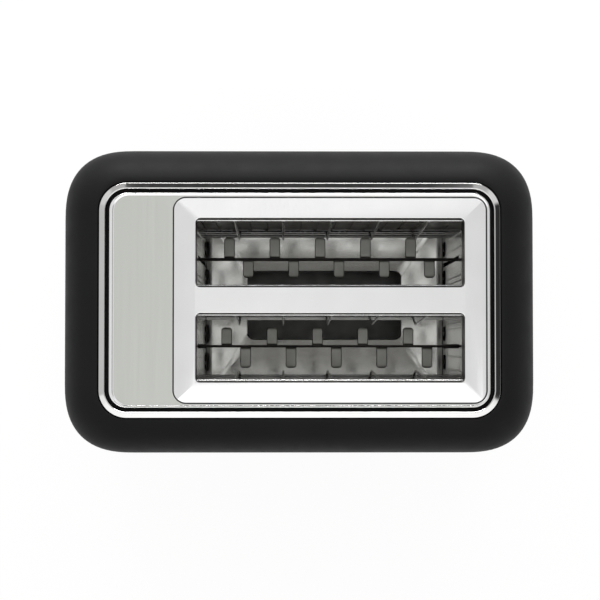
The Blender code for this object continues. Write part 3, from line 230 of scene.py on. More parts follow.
class Finish:
    """A Principled material that is built up a layer at a time."""

    def __init__(self, name, colour, roughness, metallic=0.0, specular=0.5):
        self.material = bpy.data.materials.new(name)
        self.material.use_nodes = True
        self.nodes = self.material.node_tree.nodes
        self.links = self.material.node_tree.links
        self.shader = self.nodes["Principled BSDF"]
        self.shader.inputs["Base Color"].default_value = (*colour, 1.0)
        self.shader.inputs["Roughness"].default_value = roughness
        self.shader.inputs["Metallic"].default_value = metallic
        self.shader.inputs["Specular IOR Level"].default_value = specular
        self.place = self.nodes.new("ShaderNodeTexCoord").outputs["Object"]
        self.height = None

    def noise(self, size, stretch=(1, 1, 1), detail=3.0, turn=(0, 0, 0)):
        """Noise whose features are about size across, drawn out by stretch along each axis."""
        mapping = self.nodes.new("ShaderNodeMapping")
        mapping.inputs["Rotation"].default_value = turn
        mapping.inputs["Scale"].default_value = [1 / (size * factor) for factor in stretch]
        texture = self.nodes.new("ShaderNodeTexNoise")
        texture.inputs["Scale"].default_value = 1.0
        texture.inputs["Detail"].default_value = detail
        self.links.new(self.place, mapping.inputs["Vector"])
        self.links.new(mapping.outputs["Vector"], texture.inputs["Vector"])
        return texture.outputs["Fac"]

    def cells(self, size):
        """Distances from the middles of cells about size across."""
        mapping = self.nodes.new("ShaderNodeMapping")
        mapping.inputs["Scale"].default_value = [1 / size] * 3
        texture = self.nodes.new("ShaderNodeTexVoronoi")
        texture.inputs["Scale"].default_value = 1.0
        self.links.new(self.place, mapping.inputs["Vector"])
        self.links.new(mapping.outputs["Vector"], texture.inputs["Vector"])
        return texture.outputs["Distance"]

    def span(self, value, low, high, from_low=0.3, from_high=0.7):
        """Maps a value's usual range to low..high."""
        node = self.nodes.new("ShaderNodeMapRange")
        node.inputs["From Min"].default_value = from_low
        node.inputs["From Max"].default_value = from_high
        node.inputs["To Min"].default_value = low
        node.inputs["To Max"].default_value = high
        self.links.new(value, node.inputs["Value"])
        return node.outputs["Result"]

    def tint(self, value, first, second, from_low=0.3, from_high=0.7):
        """Varies the colour between two by a value."""
        ramp = self.nodes.new("ShaderNodeValToRGB")
        ramp.color_ramp.elements[0].position = from_low
        ramp.color_ramp.elements[0].color = (*first, 1.0)
        ramp.color_ramp.elements[1].position = from_high
        ramp.color_ramp.elements[1].color = (*second, 1.0)
        self.links.new(value, ramp.inputs["Fac"])
        self.links.new(ramp.outputs["Color"], self.shader.inputs["Base Color"])
        return self

    def gloss(self, value, low, high):
        """Varies the roughness between two by a value."""
        self.links.new(self.span(value, low, high), self.shader.inputs["Roughness"])
        return self

    def bump(self, value, depth, strength=1.0):
        """Adds relief of about that depth."""
        node = self.nodes.new("ShaderNodeBump")
        node.inputs["Distance"].default_value = depth
        node.inputs["Strength"].default_value = strength
        self.links.new(value, node.inputs["Height"])
        if self.height is not None:
            self.links.new(self.height, node.inputs["Normal"])
        self.height = node.outputs["Normal"]
        self.links.new(self.height, self.shader.inputs["Normal"])
        return self

    def worn(self, colour, low=0.53, high=0.62):
        """Lightens the sharp outer edges, where handling polishes them."""
        geometry = self.nodes.new("ShaderNodeNewGeometry")
        amount = self.span(geometry.outputs["Pointiness"], 0.0, 1.0, low, high)
        mix = self.nodes.new("ShaderNodeMix")
        mix.data_type = "RGBA"
        base = self.shader.inputs["Base Color"]
        if base.is_linked:
            self.links.new(base.links[0].from_socket, mix.inputs["A"])
        else:
            mix.inputs["A"].default_value = base.default_value
        mix.inputs["B"].default_value = (*colour, 1.0)
        self.links.new(amount, mix.inputs["Factor"])
        self.links.new(mix.outputs["Result"], base)
        return self


def black_plastic():
    finish = Finish("moulded_black", (0.0100, 0.0100, 0.0102), 0.55, specular=0.07)
    cloud = finish.noise(38 * MM, detail=2.0)
    finish.tint(cloud, (0.0094, 0.0094, 0.0096), (0.0106, 0.0106, 0.0108))
    finish.gloss(finish.noise(9 * MM, detail=5.0), 0.50, 0.58)
    finish.bump(finish.cells(0.55 * MM), 0.018 * MM, 0.5)
    finish.bump(finish.noise(0.35 * MM, detail=2.0), 0.012 * MM, 0.5)
    return finish.material


def gloss_black():
    finish = Finish("gloss_moulding", (0.010, 0.010, 0.011), 0.22, specular=0.4)
    finish.tint(finish.noise(30 * MM), (0.0085, 0.0085, 0.0092), (0.0120, 0.0120, 0.0126))
    finish.gloss(finish.noise(7 * MM, detail=6.0), 0.17, 0.30)
    finish.bump(finish.noise(0.6 * MM, detail=2.0), 0.006 * MM, 0.4)
    return finish.material


def soft_black():
    finish = Finish("knob_moulding", (0.016, 0.016, 0.017), 0.38, specular=0.4)
    finish.tint(finish.noise(12 * MM), (0.014, 0.014, 0.015), (0.020, 0.020, 0.021))
    finish.gloss(finish.noise(3 * MM, detail=5.0), 0.32, 0.46)
    finish.bump(finish.noise(0.3 * MM, detail=3.0), 0.010 * MM, 0.5)
    finish.worn((0.032, 0.032, 0.034))
    return finish.material


def chrome():
    finish = Finish("bright_chrome", (0.72, 0.72, 0.71), 0.07, 1.0)
    finish.tint(finish.noise(24 * MM), (0.70, 0.70, 0.69), (0.75, 0.75, 0.74))
    finish.gloss(finish.noise(5 * MM, detail=6.0), 0.05, 0.11)
    return finish.material


def polished_steel(name="bright_steel"):
    finish = Finish(name, (0.93, 0.93, 0.93), 0.14, 1.0)
    finish.tint(finish.noise(30 * MM), (0.90, 0.90, 0.90), (0.95, 0.95, 0.95))
    finish.gloss(finish.noise(0.5 * MM, (1, 60, 1), 4.0), 0.11, 0.19)
    finish.bump(finish.noise(0.22 * MM, (1, 90, 1), 3.0), 0.0015 * MM, 0.35)
    return finish.material


def satin_steel():
    finish = Finish("satin_deck", (0.66, 0.67, 0.63), 0.20, 1.0)
    streak = finish.noise(1.6 * MM, (1, 40, 1), 4.0)
    finish.tint(streak, (0.655, 0.665, 0.625), (0.675, 0.685, 0.645))
    finish.gloss(finish.noise(0.5 * MM, (1, 60, 1), 4.0), 0.15, 0.24)
    finish.bump(finish.noise(0.22 * MM, (1, 90, 1), 3.0), 0.0012 * MM, 0.3)
    return finish.material


def rolled_sheet(name, first, second, rough_low=0.30, rough_high=0.46, waves=0.22 * MM):
    """Dull cold-rolled sheet with grain, blotches and a little heat tint."""
    finish = Finish(name, first, 0.4, 1.0)
    finish.tint(finish.noise(16 * MM, detail=3.0), first, second)
    finish.gloss(finish.noise(6 * MM, detail=4.0), rough_low, rough_high)
    finish.bump(finish.noise(0.5 * MM, (40, 1, 1), 2.0), 0.004 * MM, 0.4)
    finish.bump(finish.noise(26 * MM, detail=1.0), waves, 0.35)
    return finish.material


def wire_steel(name="drawn_wire", dull=(0.54, 0.54, 0.53), bright=(0.68, 0.68, 0.67)):
    finish = Finish(name, bright, 0.15, 1.0)
    finish.tint(finish.noise(5 * MM, detail=4.0), dull, bright)
    finish.gloss(finish.noise(1.2 * MM, detail=4.0), 0.18, 0.30)
    finish.bump(finish.noise(0.25 * MM, (1, 1, 30), 3.0), 0.006 * MM, 0.4)
    return finish.material


def mica():
    finish = Finish("mica_sheet", (0.40, 0.39, 0.36), 0.45, specular=0.7)
    flakes = finish.noise(3 * MM, (9, 1, 1), 4.0)
    finish.tint(flakes, (0.48, 0.47, 0.44), (0.33, 0.32, 0.29))
    finish.gloss(finish.noise(4 * MM, detail=5.0), 0.30, 0.50)
    finish.bump(flakes, 0.03 * MM, 0.4)
    return finish.material


def nichrome():
    finish = Finish("heater_wire", (0.34, 0.31, 0.29), 0.45, 1.0)
    finish.tint(finish.noise(9 * MM, detail=4.0), (0.22, 0.21, 0.23), (0.46, 0.40, 0.35))
    finish.gloss(finish.noise(1.5 * MM, detail=4.0), 0.38, 0.60)
    return finish.material


def rubber():
    finish = Finish("dark_rubber", (0.022, 0.022, 0.022), 0.8, specular=0.3)
    finish.tint(finish.noise(4 * MM, detail=5.0), (0.017, 0.017, 0.017), (0.032, 0.032, 0.031))
    finish.gloss(finish.noise(2 * MM, detail=5.0), 0.68, 0.92)
    finish.bump(finish.noise(0.4 * MM, detail=4.0), 0.030 * MM, 0.5)
    return finish.material


def copper_winding():
    finish = Finish("enamelled_copper", (0.55, 0.22, 0.09), 0.30, 1.0)
    finish.tint(finish.noise(3 * MM, detail=4.0), (0.46, 0.17, 0.06), (0.66, 0.29, 0.13))
    finish.gloss(finish.noise(1 * MM, detail=4.0), 0.22, 0.40)
    wave = finish.nodes.new("ShaderNodeTexWave")
    wave.bands_direction = "Z"
    wave.inputs["Scale"].default_value = 0.32 / (0.4 * MM)
    finish.links.new(finish.place, wave.inputs["Vector"])
    finish.bump(wave.outputs["Fac"], 0.12 * MM, 0.8)
    return finish.material


def board_green():
    finish = Finish("solder_mask", (0.03, 0.16, 0.06), 0.35, specular=0.5)
    finish.tint(finish.cells(1.8 * MM), (0.024, 0.14, 0.05), (0.05, 0.22, 0.09), 0.2, 0.6)
    finish.gloss(finish.noise(2 * MM, detail=4.0), 0.28, 0.48)
    finish.bump(finish.cells(1.8 * MM), 0.03 * MM, 0.4)
    return finish.material


def component():
    finish = Finish("moulded_component", (0.05, 0.05, 0.055), 0.45, specular=0.4)
    finish.tint(finish.noise(4 * MM, detail=4.0), (0.040, 0.040, 0.044), (0.065, 0.065, 0.07))
    finish.gloss(finish.noise(1 * MM, detail=4.0), 0.38, 0.55)
    finish.bump(finish.noise(0.4 * MM, detail=3.0), 0.015 * MM, 0.5)
    return finish.material


def print_white():
    finish = Finish("printed_marks", (0.62, 0.62, 0.61), 0.55)
    finish.tint(finish.noise(1.2 * MM, detail=4.0), (0.56, 0.56, 0.55), (0.66, 0.66, 0.65))
    finish.gloss(finish.noise(0.6 * MM, detail=4.0), 0.48, 0.62)
    return finish.material


BLACK_PLASTIC = black_plastic()
GLOSS_BLACK = gloss_black()
SOFT_BLACK = soft_black()
CHROME = chrome()
POLISHED_STEEL = polished_steel()
SATIN_STEEL = satin_steel()
RIM_STEEL = polished_steel("rim_steel")
SHEET_STEEL = rolled_sheet("rolled_sheet", (0.40, 0.40, 0.38), (0.56, 0.56, 0.54))
WALL_STEEL = rolled_sheet("reflector_sheet", (0.50, 0.50, 0.48), (0.64, 0.64, 0.62),
                          0.14, 0.22, 0.30 * MM)
FLOOR_STEEL = rolled_sheet("floor_sheet", (0.66, 0.66, 0.63), (0.80, 0.80, 0.77),
                           0.14, 0.22, 0.06 * MM)
TAB_STEEL = rolled_sheet("carrier_sheet", (0.17, 0.17, 0.155), (0.23, 0.23, 0.215),
                         0.34, 0.44, 0)
FLANGE_STEEL = rolled_sheet("flange_sheet", (0.42, 0.42, 0.40), (0.52, 0.52, 0.50),
                            0.30, 0.38, 0)
TRAY_STEEL = rolled_sheet("tray_sheet", (0.20, 0.20, 0.19), (0.28, 0.28, 0.27), 0.42, 0.55, 0)
# Near-black sheet that paints shade: on the slots' lower rolled edges and deep walls, the end walls'
# tops and the ledges' gap lines.
SHADE_PAINT_STEEL = rolled_sheet("painted_shade_sheet", (0.055, 0.055, 0.053), (0.08, 0.08, 0.077),
                            0.30, 0.40, 0)
# Near-black sheet for the carriers' spines: painted shade that turns the spine's folded edge into a
# black line.
SPINE_SHADE_STEEL = rolled_sheet("painted_shade_spine_sheet", (0.06, 0.058, 0.056), (0.13, 0.12, 0.11),
                          0.42, 0.6)
WIRE_STEEL = wire_steel()
# A darker copy of the wire: painted shade for the cage that is hidden from the sky.
SHADED_WIRE = wire_steel("painted_shade_wire", (0.12, 0.12, 0.12), (0.20, 0.20, 0.20))
MICA = mica()
NICHROME = nichrome()
RUBBER = rubber()
COPPER = copper_winding()
BOARD_GREEN = board_green()
COMPONENT = component()
PRINT_WHITE = print_white()


def rounded(half_x, half_y, radius, centre=(0, 0), steps=CORNER_STEPS, power=2.0):
    """Points of a rectangle with round corners, anticlockwise from the +X +Y corner.

    A power above 2 lets the corner swell out of its sides as a superellipse does.
    """
    points = []
    for quarter, (side_x, side_y) in enumerate(((1, 1), (-1, 1), (-1, -1), (1, -1))):
        middle_x = centre[0] + side_x * (half_x - radius)
        middle_y = centre[1] + side_y * (half_y - radius)
        for step in range(steps + 1):
            angle = math.pi / 2 * (quarter + step / steps)
            along_x = math.copysign(abs(math.cos(angle)) ** (2 / power), side_x)
            along_y = math.copysign(abs(math.sin(angle)) ** (2 / power), side_y)
            points.append((middle_x + radius * along_x, middle_y + radius * along_y))
    return points


def level(outline, height):
    return [Vector((x, y, height)) for x, y in outline]


def skin(loops, closed=False):
    """Skins equal loops of points into one closed surface.

    A closed skin runs from its last loop back to its first, and any other is capped.
    """
    bm = bmesh.new()
    rows = [[bm.verts.new(point) for point in loop] for loop in loops]
    pairs = list(zip(rows, rows[1:]))
    if closed:
        pairs.append((rows[-1], rows[0]))
    for lower, upper in pairs:
        for index in range(len(lower)):
            after = (index + 1) % len(lower)
            bm.faces.new((lower[index], lower[after], upper[after], upper[index]))
    if not closed:
        bm.faces.new(list(reversed(rows[0])))
        bm.faces.new(rows[-1])
    bmesh.ops.recalc_face_normals(bm, faces=bm.faces)
    return bm


def turn(profile, steps=48):
    """Turns (radius, height) points about Z; a profile starts and ends on the axis."""
    bm = bmesh.new()
    rows = []
    for radius, height in profile:
        if radius == 0:
            rows.append([bm.verts.new((0, 0, height))])
        else:
            rows.append([bm.verts.new((radius * math.cos(2 * math.pi * step / steps),
                                       radius * math.sin(2 * math.pi * step / steps), height))
                         for step in range(steps)])
    for lower, upper in zip(rows, rows[1:]):
        for index in range(steps):
            after = (index + 1) % steps
            corners_of_face = []
            for vert in (lower[index % len(lower)], lower[after % len(lower)],
                         upper[after % len(upper)], upper[index % len(upper)]):
                if vert not in corners_of_face:
                    corners_of_face.append(vert)
            if len(corners_of_face) > 2:
                bm.faces.new(corners_of_face)
    bmesh.ops.recalc_face_normals(bm, faces=bm.faces)
    return bm


def rod(radius, low, high, steps=48):
    """A cylinder about Z between two heights."""
    return turn(((0, low), (radius, low), (radius, high), (0, high)), steps)


def moved(bm, place, axis=None, angle=math.pi / 2):
    """A bmesh turned about an axis through the origin, then moved."""
    if axis:
        bmesh.ops.rotate(bm, matrix=Matrix.Rotation(angle, 3, axis), verts=bm.verts)
    bmesh.ops.translate(bm, vec=place, verts=bm.verts)
    return bm


def block(low, high):
    """A box between two corners, to be cut, bevelled or cut with."""
    bm = bmesh.new()
    bmesh.ops.create_cube(bm, size=1.0)
    bmesh.ops.scale(bm, vec=Vector(high) - Vector(low), verts=bm.verts)
    bmesh.ops.translate(bm, vec=(Vector(high) + Vector(low)) / 2, verts=bm.verts)
    return bm


def loose(name, bm):
    """An object from a bmesh in world places."""
    mesh = bpy.data.meshes.new(name)
    bm.to_mesh(mesh)
    bm.free()
    item = bpy.data.objects.new(name, mesh)
    bpy.context.scene.collection.objects.link(item)
    return item


def carve(item, tools, operation="DIFFERENCE"):
    """Applies a Boolean with each tool to an object and removes the tools."""
    for tool in tools:
        step = item.modifiers.new("carve", "BOOLEAN")
        step.operation = operation
        step.solver = "EXACT"
        step.object = tool
    return settle(item, tools)


def soften(item, width, segments=2, angle=math.radians(50)):
    """Rounds the sharp edges of an object and keeps the result."""
    edge = item.modifiers.new("edge", "BEVEL")
    edge.width = width
    edge.segments = segments
    edge.limit_method = "ANGLE"
    edge.angle_limit = angle
    return settle(item)


def settle(item, tools=()):
    """Applies an object's modifiers."""
    depsgraph = bpy.context.evaluated_depsgraph_get()
    mesh = bpy.data.meshes.new_from_object(item.evaluated_get(depsgraph))
    item.modifiers.clear()
    item.data = mesh
    for tool in tools:
        bpy.data.objects.remove(tool, do_unlink=True)
    return item


def dress(item, material, slot, body, *nodes, flat_faces=False, second=None, where=None):
    """Gives a finished piece its finish, its smooth shading, its body and its nodes.

    A second finish goes on the faces for which where(centre, normal) holds.
    """
    item.data.materials.clear()
    item.data.materials.append(material)
    if second:
        item.data.materials.append(second)
        for face in item.data.polygons:
            face.material_index = int(where(face.center, face.normal))
    item.data.shade_smooth()
    item.data.set_sharp_from_angle(angle=CREASE)
    if flat_faces:
        steady = item.modifiers.new("normals", "WEIGHTED_NORMAL")
        steady.keep_sharp = True
        steady.weight = 100
        settle(item)
    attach(item, body)
    if nodes:
        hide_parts(*nodes)
    return item


def swollen(half_x, half_y, radius, inward):
    """The body's outline, whose corners turn from swollen to plain arcs towards the lip."""
    power = BODY_CORNER_POWER + (2 - BODY_CORNER_POWER) * inward
    return rounded(half_x, half_y, radius, power=power)


def shell():
    half_x = shell_high.x
    half_y = shell_high.y
    foot_z = shell_low.z
    lip_z = shell_high.z
    widest_z = cad_box[1][2] - SHOULDER_DROP
    lip_half_x = ring_high.x + LIP_GAP + LIP_WIDTH
    lip_half_y = ring_high.y + LIP_GAP + LIP_WIDTH
    lip_corner = RING_CORNER + LIP_GAP + LIP_WIDTH

    def around(inset, height, inward=0):
        """The body's outline; inward goes from 0 at its widest to 1 at its lip."""
        return level(swollen(half_x + (lip_half_x - half_x) * inward - inset,
                             half_y + (lip_half_y - half_y) * inward - inset,
                             BODY_CORNER + (lip_corner - BODY_CORNER) * inward - inset,
                             inward), height)

    def mouth(grow, height):
        return level(rounded(ring_high.x + grow, ring_high.y + grow, RING_CORNER + grow), height)

    loops = []
    for step in range(ROUND_STEPS):
        angle = math.pi / 2 * step / ROUND_STEPS
        loops.append(around(BODY_TUCK + FOOT_ROUND * (1 - math.sin(angle)),
                            foot_z + FOOT_ROUND * (1 - math.cos(angle))))
    start_share = FOOT_ROUND / (widest_z - foot_z)
    for step in range(SIDE_STEPS + 1):
        share = start_share + (1 - start_share) * step / SIDE_STEPS
        loops.append(around(BODY_TUCK * (1 - share) ** 2, foot_z + share * (widest_z - foot_z)))
    for step in range(1, SHOULDER_STEPS + 1):
        angle = SHOULDER_TURN * step / SHOULDER_STEPS
        inward = (1 - math.cos(angle)) / (1 - math.cos(SHOULDER_TURN))
        rise = math.sin(angle) / math.sin(SHOULDER_TURN)
        loops.append(around(0, widest_z + (lip_z - widest_z) * rise, inward))
    for step in range(ROUND_STEPS + 1):
        angle = math.pi / 2 * step / ROUND_STEPS
        loops.append(mouth(LIP_GAP + LIP_ROUND * (1 - math.sin(angle)),
                           lip_z - LIP_ROUND * (1 - math.cos(angle))))
    loops.append(mouth(LIP_GAP, seat_high.z + 0.3 * MM))
    loops.append(mouth(LIP_WIDTH, seat_high.z + 0.3 * MM))
    for share in (0.9, 0.6, 0.25, 0.0):
        loops.append(around(BODY_WALL, widest_z + (lip_z - widest_z - BODY_WALL) * share,
                            share ** 2))
    loops.append(around(BODY_TUCK + BODY_WALL, foot_z))
    body = loose("body_shell", skin(loops, closed=True))
    panel_cut = rounded_prism_x(panel_low, panel_high, 0.3 * MM, -half_x - OVERRUN,
                                panel_high.x + OVERRUN, PANEL_CORNER)
    tray_cut = loose("cut", block((half_x - 9 * MM, tray_low.y - 0.5 * MM, tray_low.z - 0.3 * MM),
                                  (half_x + OVERRUN, tray_high.y + 0.5 * MM,
                                   TRAY_DOOR_TOP + 0.5 * MM)))
    outlet = middle_of("cord_gland")
    gland_cut = moved(rod(GLAND_HOLE, -12 * MM, 12 * MM), (half_x, outlet.y, outlet.z), "Y")
    carve(body, [panel_cut, tray_cut, loose("cut", gland_cut)])
    dress(body, BLACK_PLASTIC, "black_plastic", "housing", "outer_shell")


def rounded_prism_x(low, high, margin, low_x, high_x, radius):
    """A block with corners rounded about X, for cutting."""
    middle = ((low.y + high.y) / 2, (low.z + high.z) / 2)
    outline = rounded((high.y - low.y) / 2 + margin, (high.z - low.z) / 2 + margin,
                      radius + margin, middle, 10)
    loops = [[Vector((x, y, z)) for y, z in outline] for x in (low_x, high_x)]
    return loose("cut", skin(loops))


def trim_ring():
    loops = [level(rounded(ring_high.x - inset * MM, ring_high.y - inset * MM,
                           RING_CORNER - inset * MM), ring_high.z - drop * MM)
             for inset, drop in RING_SECTION]
    ring = loose("polished_ring", skin(loops, closed=True))
    dress(ring, CHROME, "chrome", "housing", "trim_ring")


def seat():
    lap = 2.8 * MM
    plate_corner = RING_CORNER - RING_WIDTH - GROOVE
    outer = rounded(seat_high.x, seat_high.y, RING_CORNER + lap)
    inner = rounded(deck_high.x - lap, deck_high.y - lap, plate_corner - lap)
    loops = [level(outer, seat_low.z), level(outer, seat_high.z), level(inner, seat_high.z),
             level(inner, seat_low.z)]
    dress(loose("seat_channel", skin(loops, closed=True)), BLACK_PLASTIC, "black_plastic",
          "housing", "seat_frame")


def deck():
    corner = RING_CORNER - RING_WIDTH - GROOVE

    def rim(inset, height):
        left = RIM_LEFT_SHARE * inset * MM
        beside = RIM_SHARE * inset * MM
        return level(rounded(deck_high.x - (left + beside) / 2, deck_high.y - beside,
                             corner - beside, ((left - beside) / 2, 0)), height)

    loops = [rim(inset, deck_high.z - drop * MM) for inset, drop in RIM_SECTION]
    face_z = deck_high.z - RIM_SECTION[-1][1] * MM
    under_z = face_z - 0.9 * MM
    for grow, drop in ((SHADOW_GAP + 0.08 * MM, 0), (SHADOW_GAP + 0.02 * MM, 0.03 * MM),
                       (SHADOW_GAP, 0.08 * MM), (SHADOW_GAP, face_z - under_z)):
        loops.append(level(rounded(frame_half_x + grow, slots_high.y + grow,
                                   FRAME_CORNER + grow, (slot_x, 0)), face_z - drop))
    last = RIM_SECTION[-1][0]
    loops.append(rim(last, under_z))
    inside = 0.9 * MM
    inner = rounded(deck_high.x - inside, deck_high.y - inside, corner - inside)
    loops.append(level(inner, under_z + 0.2 * MM))
    loops.append(level(inner, ring_low.z))
    panel_x = deck_high.x - (RIM_LEFT_SHARE * last + 0.5) * MM

    def on_rim(centre, normal):
        return -centre.x > panel_x or normal.z < 0.999

    dress(loose("satin_deck", skin(loops, closed=True)), SATIN_STEEL, "polished_steel",
          "housing", "top_plate", flat_faces=True, second=RIM_STEEL, where=on_rim)
    # A black rubber strip just under the deck's face, in the shadow gap round the frame: painted
    # shade that darkens the gap's outline.
    shadow_gap_fill = []
    for grow, drop in ((0.04 * MM, 1.0 * MM), (0.04 * MM, 0.06 * MM), (0.12 * MM, 0.0),
                       (SHADOW_GAP - 0.1 * MM, 0.0), (SHADOW_GAP - 0.03 * MM, 0.06 * MM),
                       (SHADOW_GAP - 0.03 * MM, 1.0 * MM)):
        shadow_gap_fill.append(level(rounded(frame_half_x + grow, slots_high.y + grow,
                                    FRAME_CORNER + grow, (slot_x, 0)),
                            face_z - 0.12 * MM - drop))
    dress(loose("frame_shadow_gap_fill", skin(shadow_gap_fill, closed=True)), RUBBER, "rubber", "housing")


def slot_cutter(side):
    """The space of a bread slot, flared at its top so that the rim rolls over."""
    top_z = slots_high.z
    loops = []
    outline = (slot_half_length, SLOT_WIDTH / 2, SLOT_CORNER, (slot_x, side * slot_y))
    loops.append(level(rounded(*outline, steps=8), slots_low.z - OVERRUN))
    steps = 5
    for step in range(steps + 1):
        angle = math.pi / 2 * step / steps
        grow = SLOT_ROLL * (1 - math.cos(angle))
        loops.append(level(rounded(outline[0] + grow, outline[1] + grow, outline[2] + grow,
                                   outline[3], 8), top_z - SLOT_ROLL * (1 - math.sin(angle))))
    grow = SLOT_ROLL
    loops.append(level(rounded(outline[0] + grow, outline[1] + grow, outline[2] + grow,
                               outline[3], 8), top_z + OVERRUN))
    return loose("cut", skin(loops))


def slot_surround():
    half_x = frame_half_x
    half_y = slots_high.y
    edge_z = slots_high.z - FRAME_RISE
    base_z = deck_high.z - 1.8 * MM
    hip = [
        level(rounded(half_x, half_y, FRAME_CORNER, (slot_x, 0), 14), base_z),
        level(rounded(half_x, half_y, FRAME_CORNER, (slot_x, 0), 14), slots_high.z + OVERRUN),
    ]
    surround = loose("slot_surround", skin(hip))

    def square(reach_x, reach_y, height):
        return [Vector((slot_x + side_x * reach_x, side_y * reach_y, height))
                for side_x, side_y in ((1, 1), (-1, 1), (-1, -1), (1, -1))]
    inner_x = slot_half_length + SLOT_ROLL
    inner_y = collar_half + SLOT_ROLL
    roof = loose("cut", skin([square(half_x + MM, half_y + MM, base_z - OVERRUN),
                              square(half_x + MM, half_y + MM, edge_z - FRAME_RISE * 0.09),
                              square(inner_x, inner_y, slots_high.z)]))
    carve(surround, [roof], "INTERSECT")
    collars = []
    for side in (-1, 1):
        outline = rounded(slot_half_length + COLLAR_WALL, SLOT_WIDTH / 2 + COLLAR_WALL,
                          SLOT_CORNER + COLLAR_WALL, (slot_x, side * slot_y), 8)
        collars.append(loose("cut", skin([level(outline, slots_low.z),
                                          level(outline, base_z + 0.3 * MM)])))
    carve(surround, collars, "UNION")
    carve(surround, [slot_cutter(-1), slot_cutter(1)])
    soften(surround, 0.22 * MM, 2, math.radians(55))
    shade_below_z = slots_high.z - 0.9 * MM

    # Faces of the slot's rolled edge that face +Y, and the slot's walls below shade_below_z, take
    # the near-black sheet: painted shade for the slot's dark gap and depth.
    def in_painted_shade(centre, normal):
        if abs(centre.y) > collar_half + MM or abs(centre.x - slot_x) > slot_half_length + MM:
            return False
        near_roll = normal.y > 0.25 and normal.z < 0.96
        return near_roll or centre.z < shade_below_z and abs(normal.z) < 0.5

    dress(surround, POLISHED_STEEL, "polished_steel", "housing", "slot_frame", flat_faces=True,
          second=SHADE_PAINT_STEEL, where=in_painted_shade)


def panel():
    item = rounded_prism_x(panel_low, panel_high, 0, panel_low.x, panel_back_x, PANEL_CORNER)
    item.name = "control_fascia"
    low = panel_low + Vector((0, PANEL_SHEET, PANEL_SHEET))
    high = panel_high - Vector((0, PANEL_SHEET, PANEL_SHEET))
    pocket = rounded_prism_x(low, high, 0, panel_low.x - OVERRUN, panel_face_x,
                             PANEL_CORNER - PANEL_SHEET)
    carve(item, [pocket])
    soften(item, 0.5 * MM, 3)
    lever_y = middle_of("lever_knob").y
    bezels = [oblong_ring(lever_y, 4.2 * MM, LEVER_SLOT_LOW - 3 * MM, LEVER_SLOT_HIGH + 3 * MM,
                          4.1 * MM)]
    tools = [hole_x(panel_face_x, panel_back_x, lever_y, LEVER_SLOT_HALF, LEVER_SLOT_LOW,
                    LEVER_SLOT_HIGH, LEVER_SLOT_HALF)]
    for name in ("reheat", "defrost", "cancel"):
        low, high = corners(f"{name}_button")
        low_y, high_y = low.y + MM, high.y - MM
        low_z, high_z = low.z + MM, high.z - MM
        gap = 0.3 * MM
        tools.append(hole_x(panel_face_x, panel_back_x, (low_y + high_y) / 2,
                            (high_y - low_y) / 2 + gap, low_z - gap, high_z + gap, 2.4 * MM))
        bezels.append(oblong_ring((low_y + high_y) / 2, (high_y - low_y) / 2 + 1.8 * MM,
                                  low_z - 1.8 * MM, high_z + 1.8 * MM, 3.6 * MM))
    turning = middle_of("browning_dial")
    tools.append(hole_x(panel_face_x, panel_back_x, turning.y, DIAL_HOLE,
                        turning.z - DIAL_HOLE, turning.z + DIAL_HOLE, DIAL_HOLE))
    carve(item, tools)
    posts = [pipe(((panel_back_x - 0.5 * MM, y, z), (panel_high.x, y, z)), POST_RADIUS,
                  (0, 1, 0), 24)
             for y in POST_YS for z in POST_ZS]
    dress(item, GLOSS_BLACK, "gloss_black", "housing", "control_panel")
    dress(merged("fascia_posts", posts), GLOSS_BLACK, "gloss_black", "housing")
    dress(merged("fascia_bezels", bezels), SOFT_BLACK, "gloss_black", "housing")


def oblong_ring(y, half_y, low_z, high_z, radius):
    """A thin raised bead on the panel's face."""
    width = 0.9 * MM
    rise = 0.35 * MM
    middle = (y, (low_z + high_z) / 2)
    loops = []
    for inset, up in ((0, -0.2 * MM), (0, 0.5 * rise), (0.3 * width, rise), (0.7 * width, rise),
                      (width, 0.5 * rise), (width, -0.2 * MM)):
        outline = rounded(half_y - inset, (high_z - low_z) / 2 - inset, radius - inset, middle, 10)
        loops.append([Vector((panel_face_x - up, across, above)) for across, above in outline])
    return skin(loops, closed=True)


def sweep_x(points, low_x, high_x):
    """A closed (y, z) section run along X."""
    return skin([[Vector((x, y, z)) for y, z in points] for x in (low_x, high_x)])


def merged(name, meshes):
    """One object from several bmeshes."""
    whole = bmesh.new()
    for bm in meshes:
        mesh = bpy.data.meshes.new("part")
        bm.to_mesh(mesh)
        bm.free()
        whole.from_mesh(mesh)
        bpy.data.meshes.remove(mesh)
    return loose(name, whole)


def pipe(points, radius, side, sides=12):
    """A round tube along points that lie square to one direction, called side."""
    loops = []
    points = [Vector(point) for point in points]
    for index, point in enumerate(points):
        ahead = points[min(index + 1, len(points) - 1)]
        behind = points[max(index - 1, 0)]
        across = Vector(side).cross(ahead - behind).normalized()
        loops.append([point + radius * (math.cos(2 * math.pi * step / sides) * Vector(side)
                                        + math.sin(2 * math.pi * step / sides) * across)
                      for step in range(sides)])
    return skin(loops)


def bend(first, corner, last, radius, steps=8):
    """A path of two straight runs with its corner rounded."""
    first, corner, last = Vector(first), Vector(corner), Vector(last)
    start = corner + (first - corner).normalized() * radius
    end = corner + (last - corner).normalized() * radius
    path = [first]
    for step in range(steps + 1):
        share = step / steps
        path.append((1 - share) ** 2 * start + 2 * share * (1 - share) * corner
                    + share ** 2 * end)
    return path + [last]


